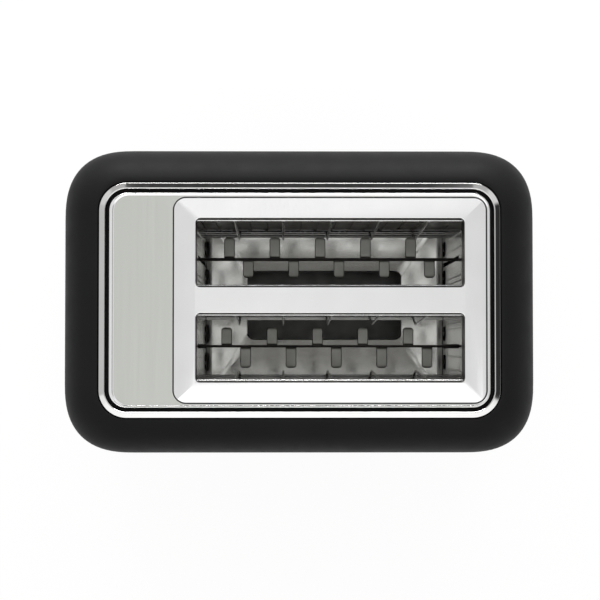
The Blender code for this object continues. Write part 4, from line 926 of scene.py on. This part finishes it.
def tab(x, root_y, tip_y, top_z):
    """One tab of a carrier: bent out of the spine, with a round tip that droops a little."""
    side = math.copysign(1, tip_y - root_y)
    reach = abs(tip_y - root_y)
    stations = [(0, 0.9), (0.35, 0.45), (0.8, 0.12), (1.4, 0.0), (3.0, 0.0)]
    stations = [(at * MM, drop * MM) for at, drop in stations]
    tip_steps = 8
    for step in range(tip_steps + 1):
        angle = math.pi / 2 * step / tip_steps
        at = reach - TAB_CORNER + TAB_CORNER * math.sin(angle)
        stations.append((at, 0.55 * MM * (step / tip_steps) ** 2))
    loops = []
    for at, drop in stations:
        into_tip = max(at - (reach - TAB_CORNER), 0)
        narrow = TAB_CORNER - math.sqrt(max(TAB_CORNER ** 2 - into_tip ** 2, 0))
        half = TAB_WIDTH / 2 - narrow
        z = top_z - drop
        bevel = 0.42 * MM
        section = ((-half, -0.5), (-half + 0.4 * bevel, -0.2), (-half + bevel, 0),
                   (half - bevel, 0), (half - 0.4 * bevel, -0.2), (half, -0.5),
                   (half, -0.7), (half - 0.1 * MM, -0.8), (-half + 0.1 * MM, -0.8),
                   (-half, -0.7))
        loops.append([Vector((x + across, root_y + side * at, z + up * MM))
                      for across, up in section])
    return skin(loops)


def carriers():
    pitch = 2 * slot_half_length * TAB_PITCH_SHARE
    for name, side, shift in (("front", -1, FRONT_TAB_SHIFT), ("rear", 1, 0)):
        node = f"bread_carrier_{name}"
        low, high = corners(node)
        middle = side * (slot_y - CARRIER_INWARD)
        section = ((-0.70, -8.0), (-0.70, -0.30), (-0.55, -0.05), (-0.38, -0.08), (-0.24, -0.5),
                   (-0.16, -5.0), (0.16, -5.0), (0.24, -0.5), (0.38, -0.08), (0.55, -0.05),
                   (0.70, -0.30), (0.70, -8.0))
        points = [(middle + y * MM, high.z + z * MM) for y, z in section]
        spine = loose(f"carrier_spine_{name}", sweep_x(points, low.x, high.x))
        # The spine takes the near-black sheet: painted shade along its fold.
        dress(spine, SPINE_SHADE_STEEL, "sheet_steel", "carriage", node)
        tabs = []
        for index in range(TAB_COUNT):
            x = slot_x + (index - TAB_REAR_SHARE) * pitch + shift
            tabs.append(tab(x, middle + SPINE_HALF - 0.2 * MM, high.y, high.z))
            x = slot_x + (index - TAB_FRONT_SHARE) * pitch + shift
            tabs.append(tab(x, middle - SPINE_HALF + 0.2 * MM, low.y, high.z))
        dress(merged(f"carrier_tabs_{name}", tabs), TAB_STEEL, "sheet_steel", "carriage")


def guide_cages():
    pitch = 2 * slot_half_length * TAB_PITCH_SHARE
    for slot_name, side in (("front", -1), ("rear", 1)):
        for edge_name, away in (("outer", side), ("inner", -side)):
            node = f"guide_wires_{slot_name}_{edge_name}"
            low, high = corners(node)
            middle = side * slot_y
            rail_z = high.z - WIRE_RADIUS
            low_z = low.z + WIRE_RADIUS
            top_y = middle + away * RAIL_OFFSET
            low_y = middle + away * LOW_RAIL_OFFSET
            knee_y = middle + away * KNEE_OFFSET
            wires = [
                pipe(((end_left_high.x, y, z), (end_right_low.x, y, z)), WIRE_RADIUS, (0, 0, 1))
                for y, z in ((top_y, rail_z), (low_y, low_z))
            ]
            for index in range(WIRE_COUNT):
                steps_aside = index - (WIRE_COUNT - 1) / 2
                x = slot_x + WIRE_SHIFT + steps_aside * (pitch + WIRE_EXTRA_PITCH)
                path = bend((x, top_y, rail_z), (x, knee_y, KNEE_Z), (x, low_y, low_z), 5 * MM)
                wires.append(pipe(path, WIRE_RADIUS * 0.97, (1, 0, 0)))
                weld = ((x - WELD_HALF_LENGTH, top_y, rail_z),
                        (x + WELD_HALF_LENGTH, top_y, rail_z))
                wires.append(pipe(weld, WIRE_RADIUS * 1.25, (0, 0, 1)))
            cage = merged(f"wire_cage_{slot_name}_{edge_name}", wires)
            # The rear slot's inner cage takes the darker wire copy: painted shade.
            hidden_from_sky = slot_name == "rear" and edge_name == "inner"
            dress(cage, SHADED_WIRE if hidden_from_sky else WIRE_STEEL, "wire_steel", "housing",
                  node)


def end_plates():
    for name, inward in (("left", 1), ("right", -1)):
        node = f"chassis_end_{name}"
        low, high = corners(node)
        plate = loose(f"end_wall_{name}", block(low, high))
        tools = []
        inner_x = high.x if inward > 0 else low.x
        ribs = []
        painted_shade_strips = []
        for side in (-1, 1):
            tongue_y = side * (slot_y - CARRIER_INWARD)
            tools.append(hole_x(low.x, high.x, tongue_y, TONGUE_SLOT / 2, TONGUE_LOW_Z,
                                TONGUE_HIGH_Z, 1.1 * MM))
            for offset in (-WINDOW_OFFSET, WINDOW_OFFSET):
                tools.append(hole_x(low.x, high.x, side * slot_y + offset, WINDOW_HALF_WIDTH,
                                    WINDOW_LOW_Z, WINDOW_LOW_Z + WINDOW_HEIGHT, 4 * MM))
            for offset in RIB_OFFSETS:
                y = side * (slot_y + offset)
                ribs.append(pipe(((inner_x, y, 84 * MM), (inner_x, y, 162 * MM)), 0.55 * MM,
                                 (0, 1, 0), 10))
            # A near-black strip at the top of each slot's end wall: painted shade under the slot's
            # collar.
            strip_x = inner_x + inward * 0.25 * MM
            painted_shade_strips.append(block((min(inner_x, strip_x), side * slot_y - SLOT_WIDTH / 2, 165 * MM),
                               (max(inner_x, strip_x), side * slot_y + SLOT_WIDTH / 2,
                                high.z)))
        if name == "right":
            tools.append(loose("cut", block((low.x - OVERRUN, tray_low.y - 0.5 * MM + 1.7 * MM,
                                             low.z - OVERRUN),
                                            (high.x + OVERRUN, tray_high.y - 1.2 * MM,
                                             tray_low.z + TRAY_PAN_HEIGHT + 2 * MM))))
        carve(plate, tools)
        dress(plate, WALL_STEEL, "sheet_steel", "housing", node)
        dress(merged(f"end_wall_ribs_{name}", ribs), WALL_STEEL, "sheet_steel", "housing")
        dress(merged(f"end_wall_painted_shade_{name}", painted_shade_strips), SHADE_PAINT_STEEL, "sheet_steel", "housing")


def ledge_hems():
    """The folded edges of the ledges beside the floor: a bright bead, and two near-black strips
    painted as the shadows of their gaps.
    """
    beads = []
    gap_shadow_strips = []
    for side in (-1, 1):
        y = side * (LEDGE_Y - 0.1 * MM)
        beads.append(pipe(((end_left_high.x, y, LEDGE_Z), (end_right_low.x, y, LEDGE_Z)),
                          0.5 * MM, (0, 0, 1)))
        # Two near-black strips along each ledge: painted shadows of the gaps beside the bead.
        for at in (LEDGE_Y + 0.9 * MM, LEDGE_Y + 3.4 * MM):
            gap_shadow_strips.append(block((end_left_high.x, side * at - 0.35 * MM, LEDGE_Z - 0.1 * MM),
                                 (end_right_low.x, side * at + 0.35 * MM, LEDGE_Z + 0.2 * MM)))
    dress(merged("ledge_beads", beads), WALL_STEEL, "sheet_steel", "housing")
    dress(merged("ledge_painted_shadows", gap_shadow_strips), SHADE_PAINT_STEEL, "sheet_steel", "housing")


def hole_x(low_x, high_x, y, half_width, low_z, high_z, radius):
    """A cutter along X with rounded corners."""
    outline = rounded(half_width, (high_z - low_z) / 2, min(radius, half_width * 0.98),
                      (y, (low_z + high_z) / 2), 6)
    loops = [[Vector((x, across, up)) for across, up in outline]
             for x in (low_x - OVERRUN, high_x + OVERRUN)]
    return loose("cut", skin(loops))


def hopper_floor():
    """The floor under the slots: bent down at both ends, and falling to its crumb opening."""
    middle_x = middle_of("floor_plate").x
    half_x = floor_high.x - middle_x
    top_z = floor_high.z + 1.2 * MM
    sheet = floor_high.z - floor_low.z
    lip = top_z - HOPPER_FALL
    outer = rounded(half_x, floor_high.y, 0.8 * MM, (middle_x, 0))
    fold = rounded(half_x - FLANGE, floor_high.y - 0.5 * MM, 0.8 * MM, (middle_x, 0))

    def opening(grow, height):
        return level(rounded(CRUMB_HALF_X + grow, CRUMB_HALF_Y + grow, CRUMB_CORNER + grow,
                             (slot_x, CRUMB_SHIFT)), height)

    loops = [level(outer, top_z - FLANGE_FALL - sheet), level(outer, top_z - FLANGE_FALL),
             level(fold, top_z), opening(0.7 * MM, lip + 0.1 * MM), opening(0, lip - 0.5 * MM),
             opening(0, lip - 1.6 * MM), opening(0.7 * MM, lip - 1.4 * MM),
             opening(0.7 * MM, lip - sheet), level(fold, top_z - sheet)]
    plate = loose("hopper_floor", skin(loops, closed=True))
    notches = []
    for end_x, reach in ((floor_low.x, 1.5 * MM), (floor_high.x, 0.8 * MM)):
        for side in (-1, 1):
            for offset in (-WINDOW_OFFSET, WINDOW_OFFSET):
                y = side * slot_y + offset
                outline = rounded(reach, 5.6 * MM, 1.2 * MM, (end_x, y), 6)
                notches.append(loose("cut", skin([level(outline, floor_low.z - 6 * MM),
                                                  level(outline, floor_high.z + 6 * MM)])))
    carve(plate, notches)

    def on_flange(centre, normal):
        return abs(centre.x - middle_x) > half_x - FLANGE

    dress(plate, FLOOR_STEEL, "sheet_steel", "housing", "floor_plate", flat_faces=True,
          second=FLANGE_STEEL, where=on_flange)


def crowned(name, low, high, radius, crown, edge=1.2 * MM, steps=6):
    """A moulded cap whose face is towards -X: rounded corners, edge and face."""
    middle = ((low.y + high.y) / 2, (low.z + high.z) / 2)
    half_y = (high.y - low.y) / 2
    half_z = (high.z - low.z) / 2
    loops = []

    def ring(x, inset):
        outline = rounded(half_y - inset, half_z - inset, max(radius - inset, 0.3 * MM),
                          middle, 10)
        loops.append([Vector((x, y, z)) for y, z in outline])

    ring(high.x, 0)
    face_x = low.x + crown
    for step in range(steps + 1):
        angle = math.pi / 2 * step / steps
        ring(face_x + edge * (1 - math.sin(angle)), edge * (1 - math.cos(angle)))
    room = min(half_y, half_z) - edge
    for share in (0.15, 0.35, 0.55, 0.75, 0.92):
        ring(face_x - crown * math.sin(math.pi / 2 * share), edge + room * share)
    return loose(name, skin(loops))


def lever():
    low, high = corners("lever_knob")
    knob = crowned("lever_cap", low, high, 4.5 * MM, 1.0 * MM, 2.2 * MM, 10)
    scoop = moved(rod(SCOOP_RADIUS, -40 * MM, 40 * MM, 64),
                  (low.x - 0.5 * MM, 0, high.z + SCOOP_RISE), "X")
    carve(knob, [loose("cut", scoop)])
    dress(knob, SOFT_BLACK, "gloss_black", "carriage", "lever_knob")


def buttons():
    for name in ("reheat", "defrost", "cancel"):
        low, high = corners(f"{name}_button")
        face_low = Vector((low.x, low.y + MM, low.z + MM))
        face_high = Vector((panel_back_x, high.y - MM, high.z - MM))
        cap = crowned(f"{name}_key", face_low, face_high, 2.2 * MM, 0.35 * MM, 0.7 * MM)
        dress(cap, SOFT_BLACK, "gloss_black", name, f"{name}_button")
        middle = (low + high) / 2
        flange = loose(f"{name}_flange", block((panel_back_x + 0.3 * MM, low.y, low.z),
                                               (panel_back_x + 1.3 * MM, high.y, high.z)))
        soften(flange, 0.3 * MM)
        dress(flange, GLOSS_BLACK, "gloss_black", name)
        stem = loose(f"{name}_stem", block((panel_back_x, middle.y - MM, middle.z - MM),
                                           (high.x, middle.y + MM, middle.z + MM)))
        soften(stem, 0.2 * MM)
        dress(stem, GLOSS_BLACK, "gloss_black", name)


def dial():
    low, high = corners("browning_dial")
    _, y, z = middle_of("browning_dial")
    depth = panel_face_x - 0.5 * MM - low.x
    skirt = 3.6 * MM
    steps = DIAL_FLUTES * 6
    profile = ((0, -0.4), (11.2, -0.4), (11.9, 0.0), (12.0, 0.5), (11.9, 1.2), (11.6, 3.0),
               (11.2, 3.5), (10.6, 3.75), (6.0, 4.0), (0, 4.05))
    bm = turn([(radius * MM, height * MM) for radius, height in profile], steps)
    for vert in bm.verts:
        radius = math.hypot(vert.co.x, vert.co.y)
        if radius > 10.9 * MM and 0.3 * MM < vert.co.z < 3.3 * MM:
            wave = 0.5 - 0.5 * math.cos(DIAL_FLUTES * math.atan2(vert.co.y, vert.co.x))
            scale = 1 - 0.28 * MM * wave / radius
            vert.co.x *= scale
            vert.co.y *= scale
    base_x = low.x + depth
    knob = loose("dial_skirt", moved(bm, (base_x, y, z), "Y", -math.pi / 2))
    dress(knob, SOFT_BLACK, "gloss_black", "dial", "browning_dial")
    grip_low = Vector((low.x, y - 2.2 * MM, z - DIAL_RADIUS + 1.4 * MM))
    grip_high = Vector((base_x - skirt, y + 2.2 * MM, z + DIAL_RADIUS - 1.4 * MM))
    grip = crowned("dial_grip", grip_low, grip_high, 2.0 * MM, 0.3 * MM, 1.0 * MM)
    dress(grip, SOFT_BLACK, "gloss_black", "dial")
    mark = loose("dial_mark", block((low.x - 0.02 * MM, y - 0.5 * MM, z + DIAL_RADIUS - 6.5 * MM),
                                    (low.x + 0.4 * MM, y + 0.5 * MM, z + DIAL_RADIUS - 2.2 * MM)))
    soften(mark, 0.12 * MM)
    dress(mark, PRINT_WHITE, "gloss_black", "dial")
    shaft = moved(rod(DIAL_SHAFT, 0, high.x - base_x, 32), (base_x, y, z), "Y")
    dress(loose("dial_shaft", shaft), GLOSS_BLACK, "gloss_black", "dial")


def dial_numbers():
    """Plain numbers round the dial, printed on the panel."""
    middle = middle_of("browning_dial")
    meshes = []
    for index in range(NUMBER_COUNT):
        angle = DIAL_SWEEP * (index / (NUMBER_COUNT - 1) - 0.5)
        words = bpy.data.curves.new("number", "FONT")
        words.body = str(index + 1)
        words.size = NUMBER_SIZE
        words.align_x = "CENTER"
        words.align_y = "CENTER"
        words.extrude = 0.04 * MM
        holder = bpy.data.objects.new("number", words)
        bpy.context.scene.collection.objects.link(holder)
        depsgraph = bpy.context.evaluated_depsgraph_get()
        mesh = bpy.data.meshes.new_from_object(holder.evaluated_get(depsgraph))
        bm = bmesh.new()
        bm.from_mesh(mesh)
        upright = Matrix(((0, 0, -1), (-1, 0, 0), (0, 1, 0)))
        bmesh.ops.transform(bm, matrix=upright.to_4x4(), verts=bm.verts)
        bmesh.ops.translate(bm, verts=bm.verts,
                            vec=(panel_face_x - 0.03 * MM,
                                 middle.y - NUMBER_RADIUS * math.sin(angle),
                                 middle.z + NUMBER_RADIUS * math.cos(angle)))
        meshes.append(bm)
        bpy.data.objects.remove(holder, do_unlink=True)
    dress(merged("dial_numbers", meshes), PRINT_WHITE, "gloss_black", "housing")


def tray():
    pan_low = Vector((tray_low.x, tray_low.y + 1.7 * MM, tray_low.z))
    pan_high = Vector((TRAY_DOOR_X + 0.4 * MM, tray_high.y - 1.7 * MM, tray_low.z + TRAY_PAN_HEIGHT))
    middle_x = (pan_low.x + pan_high.x) / 2
    half_x = (pan_high.x - pan_low.x) / 2
    half_y = pan_high.y
    loops = []
    for inset, height in ((0.8, 0.0), (0.25, 0.2), (0.0, 0.8), (0.0, 7.0), (0.15, 7.2),
                          (0.65, 7.2), (0.8, 7.0), (0.8, 1.6), (1.2, 1.0), (2.0, 0.8)):
        loops.append(level(rounded(half_x - inset * MM, half_y - inset * MM,
                                   (3.0 - inset) * MM, (middle_x, 0)),
                           pan_low.z + height * MM))
    pan = loose("crumb_pan", skin(loops))
    dress(pan, TRAY_STEEL, "sheet_steel", "tray", "crumb_tray")
    door = loose("tray_door", block((TRAY_DOOR_X, tray_low.y, tray_low.z),
                                    (TRAY_DOOR_X + 2.4 * MM, tray_high.y, TRAY_DOOR_TOP)))
    soften(door, 0.7 * MM, 4)
    dress(door, BLACK_PLASTIC, "sheet_steel", "tray")
    pull_low = Vector((TRAY_DOOR_X + 1.5 * MM, -22 * MM, 22 * MM))
    pull_high = Vector((tray_high.x, 22 * MM, 25.2 * MM))
    pull = loose("tray_pull", block(pull_low, pull_high))
    soften(pull, 1.3 * MM, 5)
    dress(pull, BLACK_PLASTIC, "sheet_steel", "tray")


def feet():
    for number in range(1, 5):
        low, high = corners(f"foot_{number}")
        x, y, _ = (low + high) / 2
        profile = ((0, 0.4), (4.6, 0.4), (5.2, 0.0), (7.2, 0.0), (7.8, 0.25), (8.1, 0.8),
                   (8.5, 4.6), (8.2, 5.0), (8.25, 5.4), (8.7, 5.8), (9.0, 8.3), (8.8, 8.7),
                   (0, 8.7))
        bm = moved(turn([(radius * MM, height * MM) for radius, height in profile]),
                   (x, y, low.z))
        dress(loose(f"rubber_foot_{number}", bm), RUBBER, "rubber", "housing",
              f"foot_{number}")


def screws():
    for number in range(1, 5):
        low, high = corners(f"base_screw_{number}")
        x, y, _ = (low + high) / 2
        profile = ((0, 0.0), (1.6, 0.05), (2.4, 0.3), (2.85, 0.8), (3.0, 1.3), (2.9, 1.6),
                   (1.5, 1.6), (1.5, 11.8), (0.6, 13.5), (0, 13.6))
        bm = moved(turn([(radius * MM, height * MM) for radius, height in profile], 32),
                   (x, y, low.z))
        screw = loose(f"cross_screw_{number}", bm)
        arms = []
        for half_x, half_y in ((1.7 * MM, 0.32 * MM), (0.32 * MM, 1.7 * MM)):
            arms.append(loose("cut", block((x - half_x, y - half_y, low.z - MM),
                                           (x + half_x, y + half_y, low.z + 0.9 * MM))))
        carve(screw, arms)
        dress(screw, WIRE_STEEL, "wire_steel", "housing", f"base_screw_{number}")


def base():
    low, high = corners("base_plate")
    loops = []
    for inset, height in ((0.0, 2.0), (0.0, 0.6), (0.2, 0.15), (0.7, 0.0)):
        loops.append(level(rounded(high.x - inset * MM, high.y - inset * MM,
                                   (24.6 - inset) * MM), low.z + height * MM))
    plate = loose("base_pan", skin(loops))
    bay_x = (high.x + end_right_high.x) / 2
    tools = []
    for index in range(VENT_COUNT):
        x = bay_x + (index - (VENT_COUNT - 1) / 2) * VENT_PITCH
        outline = rounded(1.5 * MM, 20 * MM, 1.45 * MM, (x, 0), 6)
        tools.append(loose("cut", skin([level(outline, low.z - OVERRUN),
                                        level(outline, high.z + OVERRUN)])))
    for side_x in (-1, 1):
        for side_y in (-1, 1):
            hole = rod(SCREW_HOLE, -5 * MM, 5 * MM, 24)
            tools.append(loose("cut", moved(hole, (side_x * SCREW_X, side_y * SCREW_Y, low.z))))
    outer = rounded(*BASE_PANEL, (0, 0), 8)
    inner = rounded(*(reach - BASE_GROOVE for reach in BASE_PANEL), (0, 0), 8)
    rib = skin([level(outer, low.z - MM), level(outer, low.z + 0.35 * MM),
                level(inner, low.z + 0.35 * MM), level(inner, low.z - MM)], closed=True)
    tools.append(loose("cut", rib))
    carve(plate, tools)
    dress(plate, SHEET_STEEL, "sheet_steel", "housing", "base_plate")


def gland():
    _, y, z = middle_of("cord_gland")
    reach = gland_high.x - gland_low.x
    profile = [(4.0, 0.0), (6.9, 0.0), (6.9, 2.0), (5.2, 2.0), (5.2, reach / MM - 3.4),
               (7.4, reach / MM - 3.2), (7.5, reach / MM - 2.0), (7.1, reach / MM - 1.2),
               (5.4, reach / MM - 0.3), (4.9, reach / MM), (4.3, reach / MM - 0.1),
               (4.0, reach / MM - 0.6)]
    loops = []
    for radius, along in profile:
        loops.append([Vector((gland_low.x + along * MM,
                              y + radius * MM * math.cos(2 * math.pi * step / 48),
                              z + radius * MM * math.sin(2 * math.pi * step / 48)))
                      for step in range(48)])
    dress(loose("outlet_gland", skin(loops, closed=True)), RUBBER, "rubber", "housing",
          "cord_gland")


NODE_FINISHES = {
    SHEET_STEEL: ("carriage_bracket", "lever_arm", "armature_plate", "rod_bracket",
                  "magnet_core"),
    WALL_STEEL: ("side_reflector_front", "side_reflector_rear", "centre_channel"),
    WIRE_STEEL: ("guide_rod", "return_spring"),
    MICA: ("heater_board_front", "heater_board_centre", "heater_board_rear"),
    NICHROME: ("heater_ribbon_front", "heater_ribbon_centre", "heater_ribbon_rear"),
    BLACK_PLASTIC: ("carriage_bush",),
    COMPONENT: ("reheat_switch", "defrost_switch", "cancel_switch", "potentiometer",
                "capacitor", "mains_switch"),
    COPPER: ("magnet_coil",),
    BOARD_GREEN: ("circuit_board",),
}


def finish_nodes():
    for finish, names in NODE_FINISHES.items():
        for name in names:
            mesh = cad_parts[name].data
            if not mesh.materials:
                mesh.materials.append(finish)
            for index in range(len(mesh.materials)):
                mesh.materials[index] = finish


def smoothstep(nodes, links, value, low, high):
    node = nodes.new("ShaderNodeMapRange")
    node.interpolation_type = "SMOOTHSTEP"
    node.inputs["From Min"].default_value = low
    node.inputs["From Max"].default_value = high
    links.new(value, node.inputs["Value"])
    return node.outputs["Result"]


def sum_of(nodes, links, operation, first, second):
    node = nodes.new("ShaderNodeMath")
    node.operation = operation
    for index, value in enumerate((first, second)):
        if isinstance(value, (int, float)):
            node.inputs[index].default_value = value
        else:
            links.new(value, node.inputs[index])
    return node.outputs["Value"]


def studio_light():
    """A soft studio sky: panels to each side, and dark gaps low at front and rear.

    Each step runs over a part of the direction's X or Y, from 0 overhead to 1 level.
    """
    world = bpy.data.worlds.new("studio")
    bpy.context.scene.world = world
    world.use_nodes = True
    nodes = world.node_tree.nodes
    links = world.node_tree.links

    def math_node(operation, first, second):
        return sum_of(nodes, links, operation, first, second)

    def step(value, low, high):
        return smoothstep(nodes, links, value, low, high)

    place = nodes.new("ShaderNodeTexCoord").outputs["Generated"]
    split = nodes.new("ShaderNodeSeparateXYZ")
    links.new(place, split.inputs["Vector"])
    x = split.outputs["X"]
    y = split.outputs["Y"]
    aside = math_node("ABSOLUTE", x, 0)
    left = math_node("MULTIPLY", x, -1)
    front = math_node("MULTIPLY", y, -1)
    peak = math_node("SUBTRACT", SKY_LEVEL, math_node("MULTIPLY", aside, 0.9))
    wide = math_node("SUBTRACT", 0.77, math_node("MULTIPLY", aside, 0.15))
    level_now = math_node("MAXIMUM", peak, wide)
    panel_front = math_node("MULTIPLY", step(front, 0.13, 0.21), FRONT_PANEL)
    panel_rear = math_node("MULTIPLY", step(y, 0.20, 0.28), REAR_PANEL)
    level_now = math_node("ADD", level_now, math_node("ADD", panel_front, panel_rear))
    narrow = math_node("SUBTRACT", 1, step(aside, 0.10, 0.18))
    gap = math_node("ADD", math_node("MULTIPLY", narrow, 0.55), 0.40)
    level_now = math_node("ADD", level_now, math_node("MULTIPLY", step(front, 0.34, 0.44), 0.15))
    flag = math_node("SUBTRACT", 1, step(math_node("ABSOLUTE", y, 0), 0.22, 0.34))
    flag = math_node("MULTIPLY", flag, math_node("SUBTRACT", 1, step(x, 0.86, 0.94)))
    flag = math_node("MULTIPLY", flag, 0.95)
    for part, share in ((step(x, 0.42, 0.66), flag), (step(left, 0.85, 0.98), 0.5),
                        (step(front, 0.80, 0.95), 0.9), (step(y, 0.55, 0.64), gap)):
        dim = math_node("SUBTRACT", 1, math_node("MULTIPLY", part, share))
        level_now = math_node("MULTIPLY", level_now, dim)
    background = nodes["Background"]
    links.new(level_now, background.inputs["Strength"])
    backdrop = nodes.new("ShaderNodeBackground")
    rays = nodes.new("ShaderNodeLightPath")
    mix = nodes.new("ShaderNodeMixShader")
    background.inputs["Color"].default_value = (1.0, 1.0, 1.0, 1.0)
    backdrop.inputs["Color"].default_value = (1.0, 1.0, 1.0, 1.0)
    links.new(rays.outputs["Is Camera Ray"], mix.inputs["Fac"])
    links.new(background.outputs["Background"], mix.inputs[1])
    links.new(backdrop.outputs["Background"], mix.inputs[2])
    links.new(mix.outputs["Shader"], nodes["World Output"].inputs["Surface"])


def floor():
    """A white sweep that keeps some of the toaster's shadow."""
    bm = bmesh.new()
    bmesh.ops.create_circle(bm, cap_ends=True, radius=FLOOR_REACH, segments=96)
    sweep = loose("floor", bm)
    made = bpy.data.materials.new("white_sweep")
    made.use_nodes = True
    nodes = made.node_tree.nodes
    links = made.node_tree.links
    shader = nodes["Principled BSDF"]
    shader.inputs["Base Color"].default_value = (0.94, 0.94, 0.94, 1.0)
    shader.inputs["Roughness"].default_value = 0.9
    glow = nodes.new("ShaderNodeEmission")
    rays = nodes.new("ShaderNodeLightPath")
    seen = sum_of(nodes, links, "MAXIMUM", rays.outputs["Is Camera Ray"],
                  rays.outputs["Is Glossy Ray"])
    seen = sum_of(nodes, links, "MAXIMUM", seen, rays.outputs["Is Transmission Ray"])
    share = sum_of(nodes, links, "MULTIPLY", seen, FLOOR_WHITE_SHARE)
    mix = nodes.new("ShaderNodeMixShader")
    links.new(share, mix.inputs["Fac"])
    links.new(shader.outputs["BSDF"], mix.inputs[1])
    links.new(glow.outputs["Emission"], mix.inputs[2])
    links.new(mix.outputs["Shader"], nodes["Material Output"].inputs["Surface"])
    sweep.data.materials.append(made)


def lamp(name, size, place, aim, power):
    data = bpy.data.lights.new(name, "AREA")
    data.shape = "RECTANGLE"
    data.size, data.size_y = size
    data.energy = power
    item = bpy.data.objects.new(name, data)
    item.location = place
    item.rotation_euler = (Vector(aim) - Vector(place)).to_track_quat("-Z", "Y").to_euler()
    bpy.context.scene.collection.objects.link(item)


def camera():
    data = bpy.data.cameras.new("camera")
    data.sensor_width = 36.0
    data.lens = CAMERA_LENS
    item = bpy.data.objects.new("camera", data)
    item.location = CAMERA_PLACE
    back = (Vector(CAMERA_PLACE) - Vector(CAMERA_AIM)).normalized()
    right = Vector((0, 1, 0)).cross(back).normalized()
    up = back.cross(right)
    item.rotation_euler = Matrix((right, up, back)).transposed().to_euler()
    bpy.context.scene.collection.objects.link(item)
    bpy.context.scene.camera = item


bpy.context.scene.view_settings.view_transform = "Standard"

shell()
trim_ring()
seat()
deck()
slot_surround()
panel()
dial_numbers()
carriers()
guide_cages()
end_plates()
ledge_hems()
hopper_floor()
lever()
buttons()
dial()
tray()
feet()
screws()
base()
gland()
finish_nodes()
studio_light()
floor()
lamp("rear_softbox", SOFTBOX_SIZE, SOFTBOX_PLACE, SOFTBOX_AIM, SOFTBOX_POWER)
camera()
